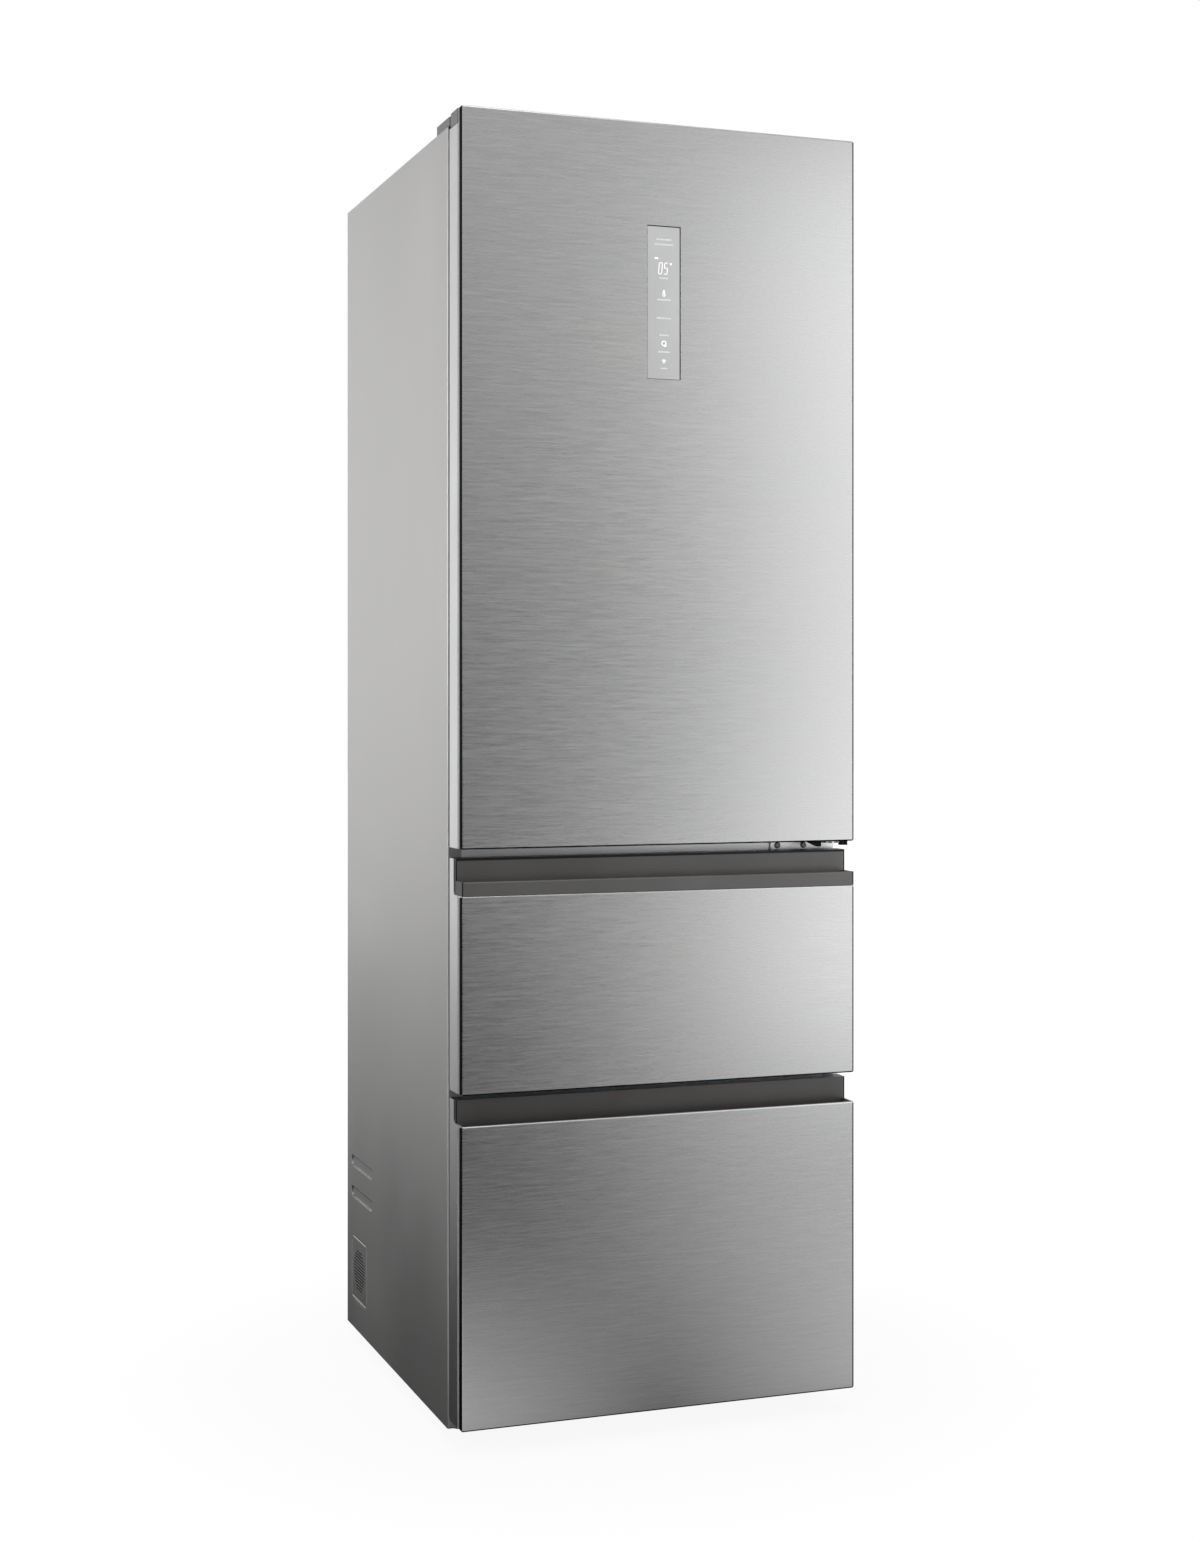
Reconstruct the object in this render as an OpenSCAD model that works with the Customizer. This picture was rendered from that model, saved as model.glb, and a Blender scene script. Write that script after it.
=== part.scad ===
// Free-standing fridge freezer: a hinged upper door over two freezer drawers
// Origin on the floor under the middle of the footprint, +Z up, fronts towards -Y

/* [Overall] */
// Width of cabinet and of fronts
width = 595; // [575:1:640]
// Top of upper door above floor
height = 1850; // [1790:1:1950]
// Steel fronts to outside of rear machine cover
depth = 667; // [620:1:720]
// Underside of cabinet above floor
floor_gap = 20; // [19:1:24]

/* [Cabinet] */
// Thickness of cabinet's outer sheets
sheet_t = 0.8; // [0.6:0.1:1.2]
// Outside bend radius of side sheets
sheet_r = 2; // [1.5:0.1:4]
// Width of sheets' flanges on cabinet's front face
flange_w = 20; // [14:1:24]
// Width of side sheets' flanges on back
rear_flange_w = 12; // [8:1:20]
// Thickness of base plate and of machine room's deck
base_t = 1.5; // [1:0.1:2.5]
// Thickness of compartment liners
liner_t = 2; // [1.2:0.1:3]
// Side insulation round refrigerator compartment
fridge_wall = 48; // [44:1:54]
// Side insulation round freezer compartments
freezer_wall = 60; // [54:1:66]
// Insulation above refrigerator compartment
top_wall = 45; // [35:1:60]
// Insulation behind refrigerator compartment
back_wall = 46; // [40:1:60]
// Insulation behind freezer compartments
freezer_back_wall = 64; // [55:1:75]
// Insulation under bottom freezer compartment
floor_wall = 58; // [52:1:65]
// Insulation between two compartments
partition_t = 48; // [40:1:56]
// Height of deck above cabinet's underside
machine_h = 242; // [236:1:250]
// Depth of machine room
machine_d = 230; // [226:1:240]
// Insulation over machine room
step_wall = 60; // [50:1:70]
// Length and height of slope over machine room
slope_l = 60; // [40:1:80]
// Depth of front rails' webs behind their face
web_d = 25; // [15:1:30]
// Thickness of front rails' webs
web_t = 3; // [2:0.5:5]
// Front rails' faces to compartments
rail_in = 2; // [1:0.5:5]
// Width of a bead pressed into the back sheet
bead_w = 16; // [10:1:24]
// Height of a bead
bead_d = 2; // [1:0.5:4]
// Step from one bead to next
bead_step = 150; // [100:1:180]
// Beads' ends to ends of back sheet
bead_end = 70; // [40:1:120]

/* [Pressed slots] */
// Length of slots pressed into the left side sheet
press_l = 135; // [100:1:160]
// Height of a pressed slot
press_h = 18; // [14:0.5:24]
// Depth of a pressed slot
press_d = 2.5; // [1.5:0.5:4]
// Slots' rear ends to cabinet's back
press_in = 30; // [24:1:50]
// Lower slot above cabinet's underside
press_rise = 210; // [200:1:240]
// Lower slot to upper one
press_step = 50; // [30:1:80]

/* [Fronts] */
// Steel front to back of a door or drawer frame
door_t = 57.5; // [54:0.5:64]
// Back of frames to cabinet's front face
seal_gap = 10; // [8:0.5:12]
// Fronts above cabinet's top and underside
stack_lift = 15; // [12:0.5:18]
// Height of bottom drawer's steel front
bottom_front_h = 417.5; // [400:0.5:440]
// Height of middle drawer's steel front
middle_front_h = 273; // [260:0.5:300]
// Opening above bottom drawer's steel front
bottom_grip_h = 31.5; // [26:0.5:38]
// Opening above middle drawer's lip
middle_grip_h = 30.5; // [26:0.5:38]
// Height of middle drawer's lip
lip_h = 19.5; // [14:0.5:26]
// Gap between two drawers' fronts
drawer_gap = 10.5; // [8:0.5:14]
// Gap under upper door, which shows the hinge plate
hinge_gap = 14; // [12:0.5:18]
// Thickness of steel fronts
skin_t = 0.8; // [0.5:0.1:1.2]
// Depth of steel fronts' side returns
skin_return = 10; // [6:0.5:14]
// Corner radius of steel fronts
skin_r = 1.5; // [1.3:0.1:5]
// Depth of band behind steel returns
reveal_d = 18; // [15:0.5:24]
// Setback of grips' rear wall from steel fronts
grip_d = 30; // [26:0.5:34]
// Wall thickness of grips
grip_t = 3; // [2:0.1:4]
// Thickness of grips' front lip
grip_lip_t = 6; // [5:0.5:8]
// Finger channel below grips' front edge
grip_drop = 20; // [14:0.5:30]
// Inside radius of finger channel
grip_r = 5; // [2:0.5:8]
// Edge radius of grips' front lip
lip_r = 2; // [1:0.5:2.5]
// Grips' ends behind face of their rear wall
grip_end_back = 8; // [6:0.5:9]
// Walls beside finger channels
grip_end_t = 3; // [2:0.5:5]
// Height of door's top cap
cap_h = 20; // [18:0.5:26]
// Cap's rear edge to back of frame
cap_back = 5.5; // [3:0.5:8]
// Depth of parting groove between cap and frame
groove = 0.6; // [0.4:0.1:1]
// Height of parting groove
groove_h = 1; // [0.6:0.1:1.4]

/* [Display] */
// Width of display panel
display_w = 50; // [40:0.5:70]
// Height of display panel
display_h = 216; // [160:1:260]
// Top of display panel below door's top
display_drop = 145; // [100:1:300]
// Thickness of display panel
display_t = 3; // [2:0.1:5]
// Groove round display panel
display_fit = 0.4; // [0.2:0.1:0.8]
// Corner radius of display panel
display_r = 1; // [0.5:0.5:4]

/* [Seals] */
// Seal's distance from side of a front
seal_in = 16; // [15:0.5:20]
// Width of seal's base
seal_w = 12; // [9:0.5:14]
// Thickness of seal's base
seal_base = 3; // [2:0.5:4]
// Seal's bulb to each edge of its base
bulb_in = 1.5; // [1:0.5:3]
// Outside corner radius of seals
seal_r = 8; // [6:0.5:12]
// Door's seal to door's lower edge
seal_edge = 2.5; // [2:0.5:5]
// Overlap of a drawer's seal round its compartment
seal_lap = 12; // [8:0.5:16]
// Clearance between closed seals and cabinet
seal_fit = 0.3; // [0.3:0.1:0.6]

/* [Hinges] */
// Hinge axis to right side of door
hinge_in = 14; // [12:0.5:16]
// Hinge axis behind steel front
hinge_back = 32; // [30:0.5:34]
// Radius of hinge pins
pin_r = 4; // [3:0.1:5]
// Running clearance of pins
pin_fit = 0.05; // [0.02:0.01:0.1]
// Length of pins inside the door
pin_l = 18; // [12:1:26]
// Thickness of hinge plates
hinge_t = 3; // [2.5:0.1:3.5]
// Width of hinge arms
arm_w = 20; // [16:0.5:22]
// Clearance between hinge arms and door
arm_gap = 1; // [0.6:0.1:2]
// Width of top hinge's plate
top_plate_w = 60; // [50:1:80]
// Depth of top hinge's plate
top_plate_d = 46; // [40:1:50]
// Length of middle hinge's plate along rail
hinge_plate_l = 102; // [90:1:120]
// Height of middle hinge's plate
hinge_plate_h = 15; // [13:0.5:17]
// Hinge plates' edges to cabinet's front face and side
plate_in = 2; // [1:0.5:6]
// Corner radius of hinge plates
hinge_plate_r = 4; // [2:0.5:6]
// Radius of hinge screws' heads
screw_head_r = 4.5; // [4:0.1:5.5]
// Radius of hinge screws' shanks
screw_r = 2.5; // [2:0.1:3]
// Clearance round screws in their holes
screw_fit = 0.1; // [0.05:0.05:0.3]
// Screws to hinge plates' edges
screw_in = 11; // [8:0.5:13]
// Distance between middle hinge's screws
screw_step = 42; // [30:1:60]
// Length of stop under door
stop_l = 20; // [12:1:24]
// Depth of stop under door
stop_d = 10; // [6:1:14]
// How far the stop hangs below door
stop_h = 9; // [6:0.5:10]
// Stop to hinge axis
stop_in = 26; // [24:0.5:32]

/* [Shelves and bins] */
// Thickness of glass shelves
glass_t = 4; // [3:0.5:6]
// Clearance between shelves and liner's sides
glass_fit = 1; // [0.5:0.5:2]
// Clear height of crisper drawer's room
crisper_h = 190; // [160:1:210]
// Clear height of chill drawer's room
chill_h = 125; // [100:1:150]
// Step between shelves above drawers
shelf_step = 190; // [160:1:200]
// Shelves behind cabinet's front face
shelf_back = 112; // [108:1:130]
// Rear edge of shelves before rear duct
shelf_rear = 7; // [4:1:12]
// Depth of trims along glass
trim_d = 18; // [14:1:24]
// Depth of trims' walls before and behind glass
trim_wall = 4; // [3:0.5:6]
// Thickness of trims under glass
trim_under = 7; // [5:0.5:10]
// Thickness of trims over glass
trim_over = 2; // [1:0.5:4]
// Width of liner's ribs that carry the glass
rib_w = 10; // [6:1:14]
// Height of those ribs
rib_h = 6; // [4:1:10]
// Wall thickness of drawers and bins
bin_t = 3; // [2:0.1:4]
// Corner radius of drawers and bins
bin_r = 14; // [8:1:20]
// Clearance round shelf drawers
drawer_side = 6; // [4:0.5:10]
// Clearance above shelf drawers
drawer_over = 5; // [3:0.5:8]
// A shelf drawer's pull to its sides
pull_in = 40; // [20:1:80]
// How far the pull stands out in front
pull_out = 10; // [6:1:14]
// Height of pull
pull_h = 16; // [10:1:24]
// Depth of door bins
door_bin_d = 100; // [80:1:104]
// Height of lowest door bin's wall
bottle_bin_h = 110; // [80:1:130]
// Height of other door bins' walls
door_bin_h = 70; // [50:1:90]
// Step from one door bin to next
door_bin_step = 300; // [260:1:310]
// Lowest door bin above foot of side walls
door_bin_rise = 14; // [12:1:30]
// Clearance beside door bins
door_bin_fit = 0.5; // [0.3:0.1:1]
// Height of a door bin's bar
bar_h = 12; // [8:1:20]
// Thickness of door liner
liner_plate_t = 2.5; // [1.5:0.1:4]
// Door liner's side walls to door's side
dyke_in = 67.5; // [64:0.5:72]
// Width of door liner's side walls
dyke_w = 25; // [18:1:30]
// Depth of door liner's side walls
dyke_d = 70; // [50:1:76]
// Edge radius of door liner's side walls
dyke_r = 6; // [3:0.5:8]
// Those walls to compartment's floor and ceiling
dyke_end = 12; // [8:1:20]
// Width of studs that carry the door bins
peg_w = 7; // [5:0.5:10]
// Height of those studs
peg_h = 10; // [6:1:14]
// Depth of those studs
peg_d = 40; // [20:1:50]
// How far a freezer bin's rim stands out
rim_w = 6; // [3:0.5:8]
// Clearance before freezer bins
bin_front = 4; // [3:0.5:8]
// Clearance under freezer bins
bin_under = 6; // [4:0.5:10]
// Clearance above freezer bins
bin_over = 24; // [15:1:40]
// Clearance beside a freezer bin
bin_side = 3; // [2:0.5:4]

/* [Ducts and lamp] */
// Depth of refrigerator's rear air duct
duct_d = 20; // [15:1:30]
// Width of duct's face
duct_w = 220; // [160:1:260]
// Spread of duct's sides towards back
duct_flare = 12; // [6:1:20]
// Wall thickness of duct
duct_t = 3; // [2:0.5:4]
// Width of a vent slot in duct
vent_w = 56; // [30:1:70]
// Vent slots to duct's middle
vent_x = 66; // [50:1:80]
// Height of a vent slot
vent_h = 4; // [3:0.5:6]
// Step from one vent slot to next
vent_step = 10; // [7:1:16]
// First vent slot above its shelf
vent_rise = 60; // [40:1:90]
// Length of lamp
lamp_l = 140; // [80:1:200]
// Depth of lamp, front to back
lamp_w = 34; // [20:1:50]
// Height of lamp
lamp_h = 8; // [5:0.5:12]
// Front edge of lamp before shelves
lamp_lead = 20; // [0:1:40]

/* [Runners] */
// Clearance behind runners
runner_rear = 46; // [20:1:80]
// Runners behind cabinet's front face
runner_front = 16; // [8:1:30]
// Runners' axis above middle compartment's middle
runner_rise = 20; // [0:1:30]
// Rails' lower edge above bottom compartment's step
runner_over = 12; // [4:1:20]
// Height of fixed rail
rail_h = 46; // [42:1:50]
// Height of middle member
slide_h = 34; // [32:1:36]
// Height of inner member
inner_h = 22; // [20:1:24]
// Width of whole runner
runner_w = 15; // [14:0.5:18]
// Sheet thickness of runner members
runner_t = 1.5; // [1.2:0.1:1.8]
// Clearance between runner members
runner_fit = 0.6; // [0.3:0.1:0.8]
// Height of rails' lips
runner_lip = 4; // [2.5:0.5:5]
// Setback of each next member's ends
runner_set = 2; // [1:0.5:4]
// Clearance of ball rows
ball_fit = 0.2; // [0.1:0.05:0.4]
// Number of balls in a row
ball_count = 8; // [4:1:12]
// Step from one ball to next
ball_step = 24; // [12:1:26]
// Width of ball cages
cage_w = 3; // [2:0.5:4]
// Thickness of ball cages
cage_t = 0.8; // [0.5:0.1:1.2]
// Width of ledge that carries a freezer bin
ledge_w = 16; // [12:1:20]
// Thickness of a runner's bracket
bracket_t = 2; // [1.5:0.1:3]
// Height of bracket above and below inner member
bracket_h = 14; // [8:1:18]

/* [Fans] */
// Outer size of condenser fan's square frame
fan_frame = 156; // [140:1:160]
// Corner radius of frame
fan_frame_r = 8; // [4:1:12]
// Mounting holes' distance from frame's edges
fan_hole_in = 9; // [7:0.5:10]
// Condenser fan to cabinet's left side
fan_in = 92; // [84:1:110]
// Clearance behind condenser fan's frame
fan_rear = 2; // [1:0.5:6]
// Radius of condenser fan
fan_r = 65; // [55:1:66]
// Radius of condenser fan's hub
fan_hub_r = 20; // [16:1:24]
// Radius of evaporator fan
ice_fan_r = 38; // [30:1:40]
// Radius of evaporator fan's hub
ice_hub_r = 13; // [10:1:16]
// Evaporator fan to compartment's ceiling
ice_fan_drop = 12; // [8:1:20]
// Clearance round both fans
tip_fit = 2.5; // [1.5:0.5:5]
// Wall thickness of evaporator fan's ring
ring_t = 3; // [2:0.5:5]
// Depth of both fans' rings
fan_depth = 26; // [24:1:32]
// Height of both fans' hubs
fan_hub_h = 11; // [10:0.5:14]
// Clearance before and behind hubs
fan_gap = 3; // [2:0.5:4]
// Clearance between hubs and motors
motor_gap = 0.5; // [0.3:0.1:1]
// Radius of condenser fan's motor
fan_motor_r = 18; // [14:1:22]
// Radius of both fan shafts
shaft_r = 3; // [2.5:0.1:3.5]
// Length of shafts inside the hubs
shaft_l = 9; // [6:0.5:9]
// Width of struts that hold the motors
strut_w = 6; // [4:0.5:10]
// Thickness of struts
strut_t = 4; // [2:0.5:6]
// Thickness of fan blades
blade_t = 1.6; // [1:0.1:2]
// Width of condenser fan's blades
blade_w = 32; // [24:1:34]
// Width of evaporator fan's blades
ice_blade_w = 18; // [12:1:20]
// Pitch of fan blades in degrees
blade_pitch = 32; // [15:1:35]

/* [Cooling coils] */
// Space for the evaporator behind freezer duct
evap_gap = 60; // [50:1:66]
// Thickness of freezer duct's panel
duct_panel_t = 3; // [2:0.5:4]
// Evaporator's fins to freezer's liner
evap_side = 35.5; // [31.5:0.5:85.5]
// Height of evaporator's fins
evap_h = 158; // [120:1:165]
// Clearance before and behind evaporator
evap_fit = 6; // [4:0.5:10]
// Height of coils' fins above their feet
coil_rise = 14; // [10:1:24]
// Radius of coils' tubes
tube_r = 4; // [3:0.5:5]
// Thickness of coils' fins
fin_t = 1; // [0.8:0.1:1.5]
// Length of tubes outside the fins
tube_out = 6; // [4:0.5:10]
// Number of evaporator's fins
evap_fins = 24; // [12:1:30]
// Number of condenser's fins
condenser_fins = 16; // [10:1:20]
// Depth of condenser across its fins
condenser_d = 66; // [50:1:70]
// Condenser to cabinet's left side
condenser_in = 12; // [8:1:16]
// Clearance above condenser
condenser_over = 62; // [50:1:90]
// Condenser's front end behind deck
condenser_front = 30; // [28:1:40]
// Condenser's rear end before rollers
condenser_rear = 44; // [30:1:60]

/* [Compressor] */
// Radius of compressor's housing
compressor_r = 75; // [65:1:80]
// Height of compressor's housing
compressor_h = 155; // [130:1:160]
// Compressor's middle to cabinet's right side
compressor_in = 148; // [130:1:160]
// Compressor's middle to back sheet
compressor_back = 116; // [104:1:124]
// Height of rubber studs that it stands on
stud_h = 12; // [8:1:16]
// Radius of those studs
stud_r = 8; // [6:1:10]
// Studs to compressor's middle, sideways
stud_x = 75; // [60:1:80]
// Studs to compressor's middle, front to back
stud_y = 55; // [45:1:60]
// Thickness of compressor's foot plate
foot_plate_t = 3; // [2:0.5:5]
// Margin of foot plate round studs
foot_plate_m = 11; // [9:1:14]
// Lower edge radius of housing
housing_r = 22; // [12:1:30]
// Height of housing's dome
dome_h = 50; // [30:1:60]
// Width of housing's seam
seam_w = 3; // [2:0.5:4]
// Height of lower shell, up to seam
seam_z = 85; // [60:1:90]
// Width of terminal box
terminal_w = 44; // [30:1:60]
// Height of terminal box
terminal_h = 45; // [30:1:60]
// Terminal box above foot plate
terminal_z = 50; // [30:1:60]
// How far the terminal box stands out
terminal_d = 16; // [10:1:17]
// Radius of compressor's pipes
pipe_r = 4; // [3:0.5:5]
// Bend radius of pipes
bend_r = 16; // [10:1:24]
// Level of delivery pipe above foot plate
pipe_z = 116; // [100:1:120]
// Delivery pipe before compressor's middle
pipe_y = 52; // [48:1:56]
// Return pipe behind compressor's middle
return_y = 30; // [10:1:40]
// Return pipe to drain pan
pipe_gap = 8; // [5:1:14]
// Height of drain pan
pan_h = 26; // [16:1:36]
// Margin of drain pan round compressor
pan_m = 8; // [4:1:12]
// Corner radius of drain pan
pan_r = 12; // [6:1:20]
// Wall thickness of drain pan
pan_t = 2; // [1.5:0.1:3]

/* [Covers and grille] */
// Side of square side grille
grille_w = 102; // [92:1:110]
// Corner radius of side grille
grille_corner = 15; // [8:1:20]
// Groove round side grille
grille_fit = 0.7; // [0.4:0.1:1]
// Lap of grille's flange behind the sheet
grille_lap = 3; // [2:0.5:5]
// Grille's middle to cabinet's back
grille_back = 81; // [72:1:100]
// Grille's middle above cabinet's underside
grille_rise = 98; // [70:1:130]
// Radius of grille's slotted field
grille_r = 35; // [25:1:42]
// Step between grille's slots
slot_step = 5; // [4:0.5:7]
// Height of a grille slot
slot_h = 2.6; // [1.6:0.1:3.2]
// Height of ring behind grille
ring_h = 5; // [3:0.5:8]
// Clearance between slots and that ring
ring_fit = 2; // [1:0.5:4]
// Rear cover's depth behind back sheet
cover_d = 7; // [5:0.5:10]
// Wall thickness of plastic covers
cover_t = 2; // [1.5:0.1:3]
// Rear cover to cabinet's sides and underside
cover_in = 4; // [2:0.5:8]
// Overlap of rear cover with back sheet
cover_lap = 6; // [4:1:12]
// Corner radius of rear cover
cover_r = 8; // [4:1:12]
// Width of a slot in rear cover
cover_slot_w = 6; // [4:0.5:8]
// Height of a slot in rear cover
cover_slot_h = 34; // [20:1:38]
// Step between rear cover's slots, sideways
cover_step_x = 24; // [16:1:28]
// Step between rear cover's slots, upwards
cover_step_z = 44; // [40:1:50]
// Lowest slot above rear cover's lower edge
cover_slot_rise = 95; // [70:1:110]
// Height of top cover
top_cover_h = 12.5; // [9:0.5:14]
// Top cover's front before cabinet's front face
top_cover_lead = 10; // [9:0.5:14]
// Top cover's reach over cabinet
top_cover_back = 57; // [50:1:80]
// Corner radius of top cover
top_cover_r = 3; // [2:0.5:6]
// Clearance round hinge arm in top cover
notch_fit = 3; // [2:0.5:5]
// Cord's gland to cabinet's right side
gland_in = 60; // [40:1:90]
// Gland above cabinet's underside
gland_rise = 40; // [30:1:60]
// Radius of gland's hole in rear cover
gland_r = 9; // [7:0.5:12]
// Width of gland's collar
collar_w = 3; // [2:0.5:5]
// Depth of gland's collar
collar_d = 3; // [2:0.5:4]
// Radius of cord's way through gland
cord_r = 4; // [3:0.1:5]

/* [Feet and rollers] */
// Radius of levelling feet
foot_r = 19; // [14:1:24]
// Height of a foot's pad
pad_h = 8; // [6:0.5:10]
// Radius of six-sided grip on a foot
hex_r = 12; // [8:0.5:14]
// Height of that grip
hex_h = 5; // [3:0.5:6]
// Radius of a foot's screw
stem_r = 5; // [4:0.5:6]
// Radius of feet's sockets
socket_r = 9; // [7:0.5:12]
// How far a foot screws out
foot_travel = 15; // [8:1:18]
// Feet and rollers to cabinet's sides
foot_in = 42; // [36:1:50]
// Feet to cabinet's front face
foot_back = 70; // [56:1:84]
// Radius of rear rollers
roller_r = 17; // [14:0.5:17.5]
// Width of rear rollers
roller_w = 16; // [10:1:20]
// Width and depth of step at a roller's edges
roller_edge = 1.5; // [1:0.5:3]
// Rollers' axles to cabinet's back
roller_back = 40; // [34:1:48]
// Radius of rollers' axles
axle_r = 4; // [3:0.5:5]
// Clearance beside a roller
ear_fit = 1.3; // [0.6:0.1:2]
// Thickness of brackets
ear_t = 2; // [1.5:0.5:4]
// Length of brackets
ear_l = 28; // [20:1:32]
// Brackets' edge below and above axle's room
ear_edge = 5; // [3:0.5:7]
// Height of brackets above base plate
ear_rise = 18; // [10:1:24]
// Clearance round a roller in base plate
roller_room = 3; // [2:0.5:6]

/* [Fits] */
// Running clearance of fans, feet and rollers
running = 0.05; // [0.02:0.01:0.1]
// Gap between parts that rest on each other
touch = 0.3; // [0.1:0.1:0.5]

/* [Hidden] */

$fn = 48;
past = 1;
lap = 0.1;
arc_fit = 0.01;
miter = tan(22.5);
half_w = width / 2;
inner_half = half_w - sheet_t;

// Planes from front to back
front_y = -depth / 2;
door_back_y = front_y + door_t;
face_y = door_back_y + seal_gap;
flange_y = face_y + sheet_t;
foam_y = flange_y + liner_t;
rear_y = depth / 2 - cover_d;
back_in_y = rear_y - sheet_t;

// Levels from the floor up
cab_z0 = floor_gap;
cab_z1 = height - stack_lift;
base_top = cab_z0 + base_t;
bottom_z0 = floor_gap + stack_lift;
bottom_z1 = bottom_z0 + bottom_front_h;
bottom_top = bottom_z1 + bottom_grip_h;
middle_z0 = bottom_top + drawer_gap;
middle_z1 = middle_z0 + middle_front_h;
lip_z1 = middle_z1 + lip_h;
middle_top = lip_z1 + middle_grip_h;
door_z0 = middle_top + hinge_gap;
door_z1 = height;
rail_z = (middle_top + door_z0) / 2;
lower_rail_z = (bottom_top + middle_z0) / 2;
deck_z = cab_z0 + machine_h;
deck_y = back_in_y - machine_d;

// Compartments, as the hollows in the foam
fridge_half = half_w - fridge_wall;
freezer_half = half_w - freezer_wall;
fridge_z = [rail_z + partition_t / 2, cab_z1 - top_wall];
middle_z = [lower_rail_z + partition_t / 2, rail_z - partition_t / 2];
bottom_z = [cab_z0 + floor_wall, lower_rail_z - partition_t / 2];
fridge_back = back_in_y - back_wall;
freezer_back = back_in_y - freezer_back_wall;
step_y = deck_y - step_wall;
step_z = deck_z + step_wall;

// Shelves
fridge_in = fridge_half - liner_t;
duct_y = fridge_back - liner_t - duct_d;
shelf_y0 = face_y + shelf_back;
shelf_y1 = duct_y - shelf_rear;
crisper_shelf_z = fridge_z[0] + liner_t + crisper_h;
chill_shelf_z = crisper_shelf_z + glass_t + chill_h;
shelf_zs = [crisper_shelf_z, chill_shelf_z, chill_shelf_z + shelf_step,
    chill_shelf_z + 2 * shelf_step];

// Hinges
hinge_x = half_w - hinge_in;
hinge_y = front_y + hinge_back;
arm_z1 = door_z0 - arm_gap;
arm_z0 = arm_z1 - hinge_t;
recess_z = cab_z1 - arm_gap;

// Freezer bins and runners
freezer_in = freezer_half - liner_t;
duct_panel_y = freezer_back - liner_t - evap_gap - duct_panel_t;
runner_y0 = face_y + runner_front;
runner_y1 = duct_panel_y - runner_rear;
inner_y1 = runner_y1 - 2 * runner_set;
middle_runner_z = (middle_z[0] + middle_z[1]) / 2 + runner_rise;
bottom_runner_z = step_z + liner_t + rail_h / 2 + runner_over;
ledge_x = freezer_in - runner_w - ledge_w;
bin_wide = freezer_in - runner_w - bin_side;
bin_narrow = ledge_x - bin_side;

// Machine room
fan_y = back_in_y - fan_frame / 2 - fan_rear;
fan_z = base_top + fan_frame / 2;
fan_x = -half_w + fan_in;
grille_y = rear_y - grille_back;
grille_z = cab_z0 + grille_rise;
compressor_x = half_w - compressor_in;
compressor_y = back_in_y - compressor_back;
compressor_z = base_top + stud_h;
compressor_top = compressor_z + foot_plate_t + compressor_h;
roller_x = half_w - foot_in;
roller_y = rear_y - roller_back;
foot_x = half_w - foot_in;
foot_y = face_y + foot_back;
stem_top = cab_z0 + 2 * foot_travel;

// Arc points about a centre from angle a0 to a1
function arc(cx, cy, r, a0, a1, n = 4) =
    [for (i = [0:n]) [cx + r * cos(a0 + (a1 - a0) * i / n), cy + r * sin(a0 + (a1 - a0) * i / n)]];

// Rounded rectangle between two corners
function rrect(x, y, r, n = 4) = concat(
    arc(x[1] - r, y[1] - r, r, 0, 90, n), arc(x[0] + r, y[1] - r, r, 90, 180, n),
    arc(x[0] + r, y[0] + r, r, 180, 270, n), arc(x[1] - r, y[0] + r, r, 270, 360, n));

// A range drawn in at both ends, or let out with a negative amount
function shrink(r, t) = [r[0] + t, r[1] - t];

// The range that reaches equally far to both sides of a middle
function about(c, l) = [c - l / 2, c + l / 2];

function reversed(a) = [for (i = [len(a) - 1:-1:0]) a[i]];

module box(x, y, z) {
    translate([x[0], y[0], z[0]]) cube([x[1] - x[0], y[1] - y[0], z[1] - z[0]]);
}

// Plan outline raised between two levels
module rise(z, points) {
    translate([0, 0, z[0]]) linear_extrude(z[1] - z[0]) polygon(points);
}

// Front outline of X and Z, carried back between two planes
module carry(y, points) {
    translate([0, y[1], 0]) rotate([90, 0, 0]) linear_extrude(y[1] - y[0]) polygon(points);
}

// Side outline of Y and Z, spread between two sides
module spread(x, points) {
    translate([x[0], 0, 0]) rotate([90, 0, 90]) linear_extrude(x[1] - x[0]) polygon(points);
}

module both_sides() {
    children();
    mirror([1, 0, 0]) children();
}

// Round hole about Z, through a thickness
module drill(h, r) {
    translate([0, 0, -past]) cylinder(h = h + 2 * past, r = r);
}

// Tube about Z, open at both ends
module ring(h, r, t) {
    difference() {
        cylinder(h = h, r = r + t);
        drill(h, r);
    }
}

// Bend about Z for a pipe of radius r
module bend(r_bend, r, angle) {
    rotate_extrude(angle = angle) translate([r_bend, 0]) circle(r = r);
}

// Plan of what fills the cabinet inside its bent side sheets
function inside_plan() = rrect([-inner_half, inner_half], [flange_y, back_in_y], sheet_r - sheet_t);

// Open tub with rounded upright corners
module tub(x, y, z, r = bin_r, t = bin_t) {
    difference() {
        rise(z, rrect(x, y, r));
        rise([z[0] + t, z[1] + past], rrect(shrink(x, t), shrink(y, t), r - t));
    }
}

// Cabinet sheets

// Plan of the left side sheet: a flat side with a bent flange at each end
function side_sheet_plan() = let (x = -half_w, r = sheet_r, q = sheet_r - sheet_t) concat(
    [[x + flange_w, face_y]],
    arc(x + r, face_y + r, r, 270, 180),
    arc(x + r, rear_y - r, r, 180, 90),
    [[x + rear_flange_w, rear_y], [x + rear_flange_w, back_in_y]],
    arc(x + r, rear_y - r, q, 90, 180),
    arc(x + r, face_y + r, q, 180, 270),
    [[x + flange_w, flange_y]]);

press_y = [rear_y - press_in - press_l, rear_y - press_in];
press_z0 = cab_z0 + press_rise;
press_zs = [press_z0, press_z0 + press_step];

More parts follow.
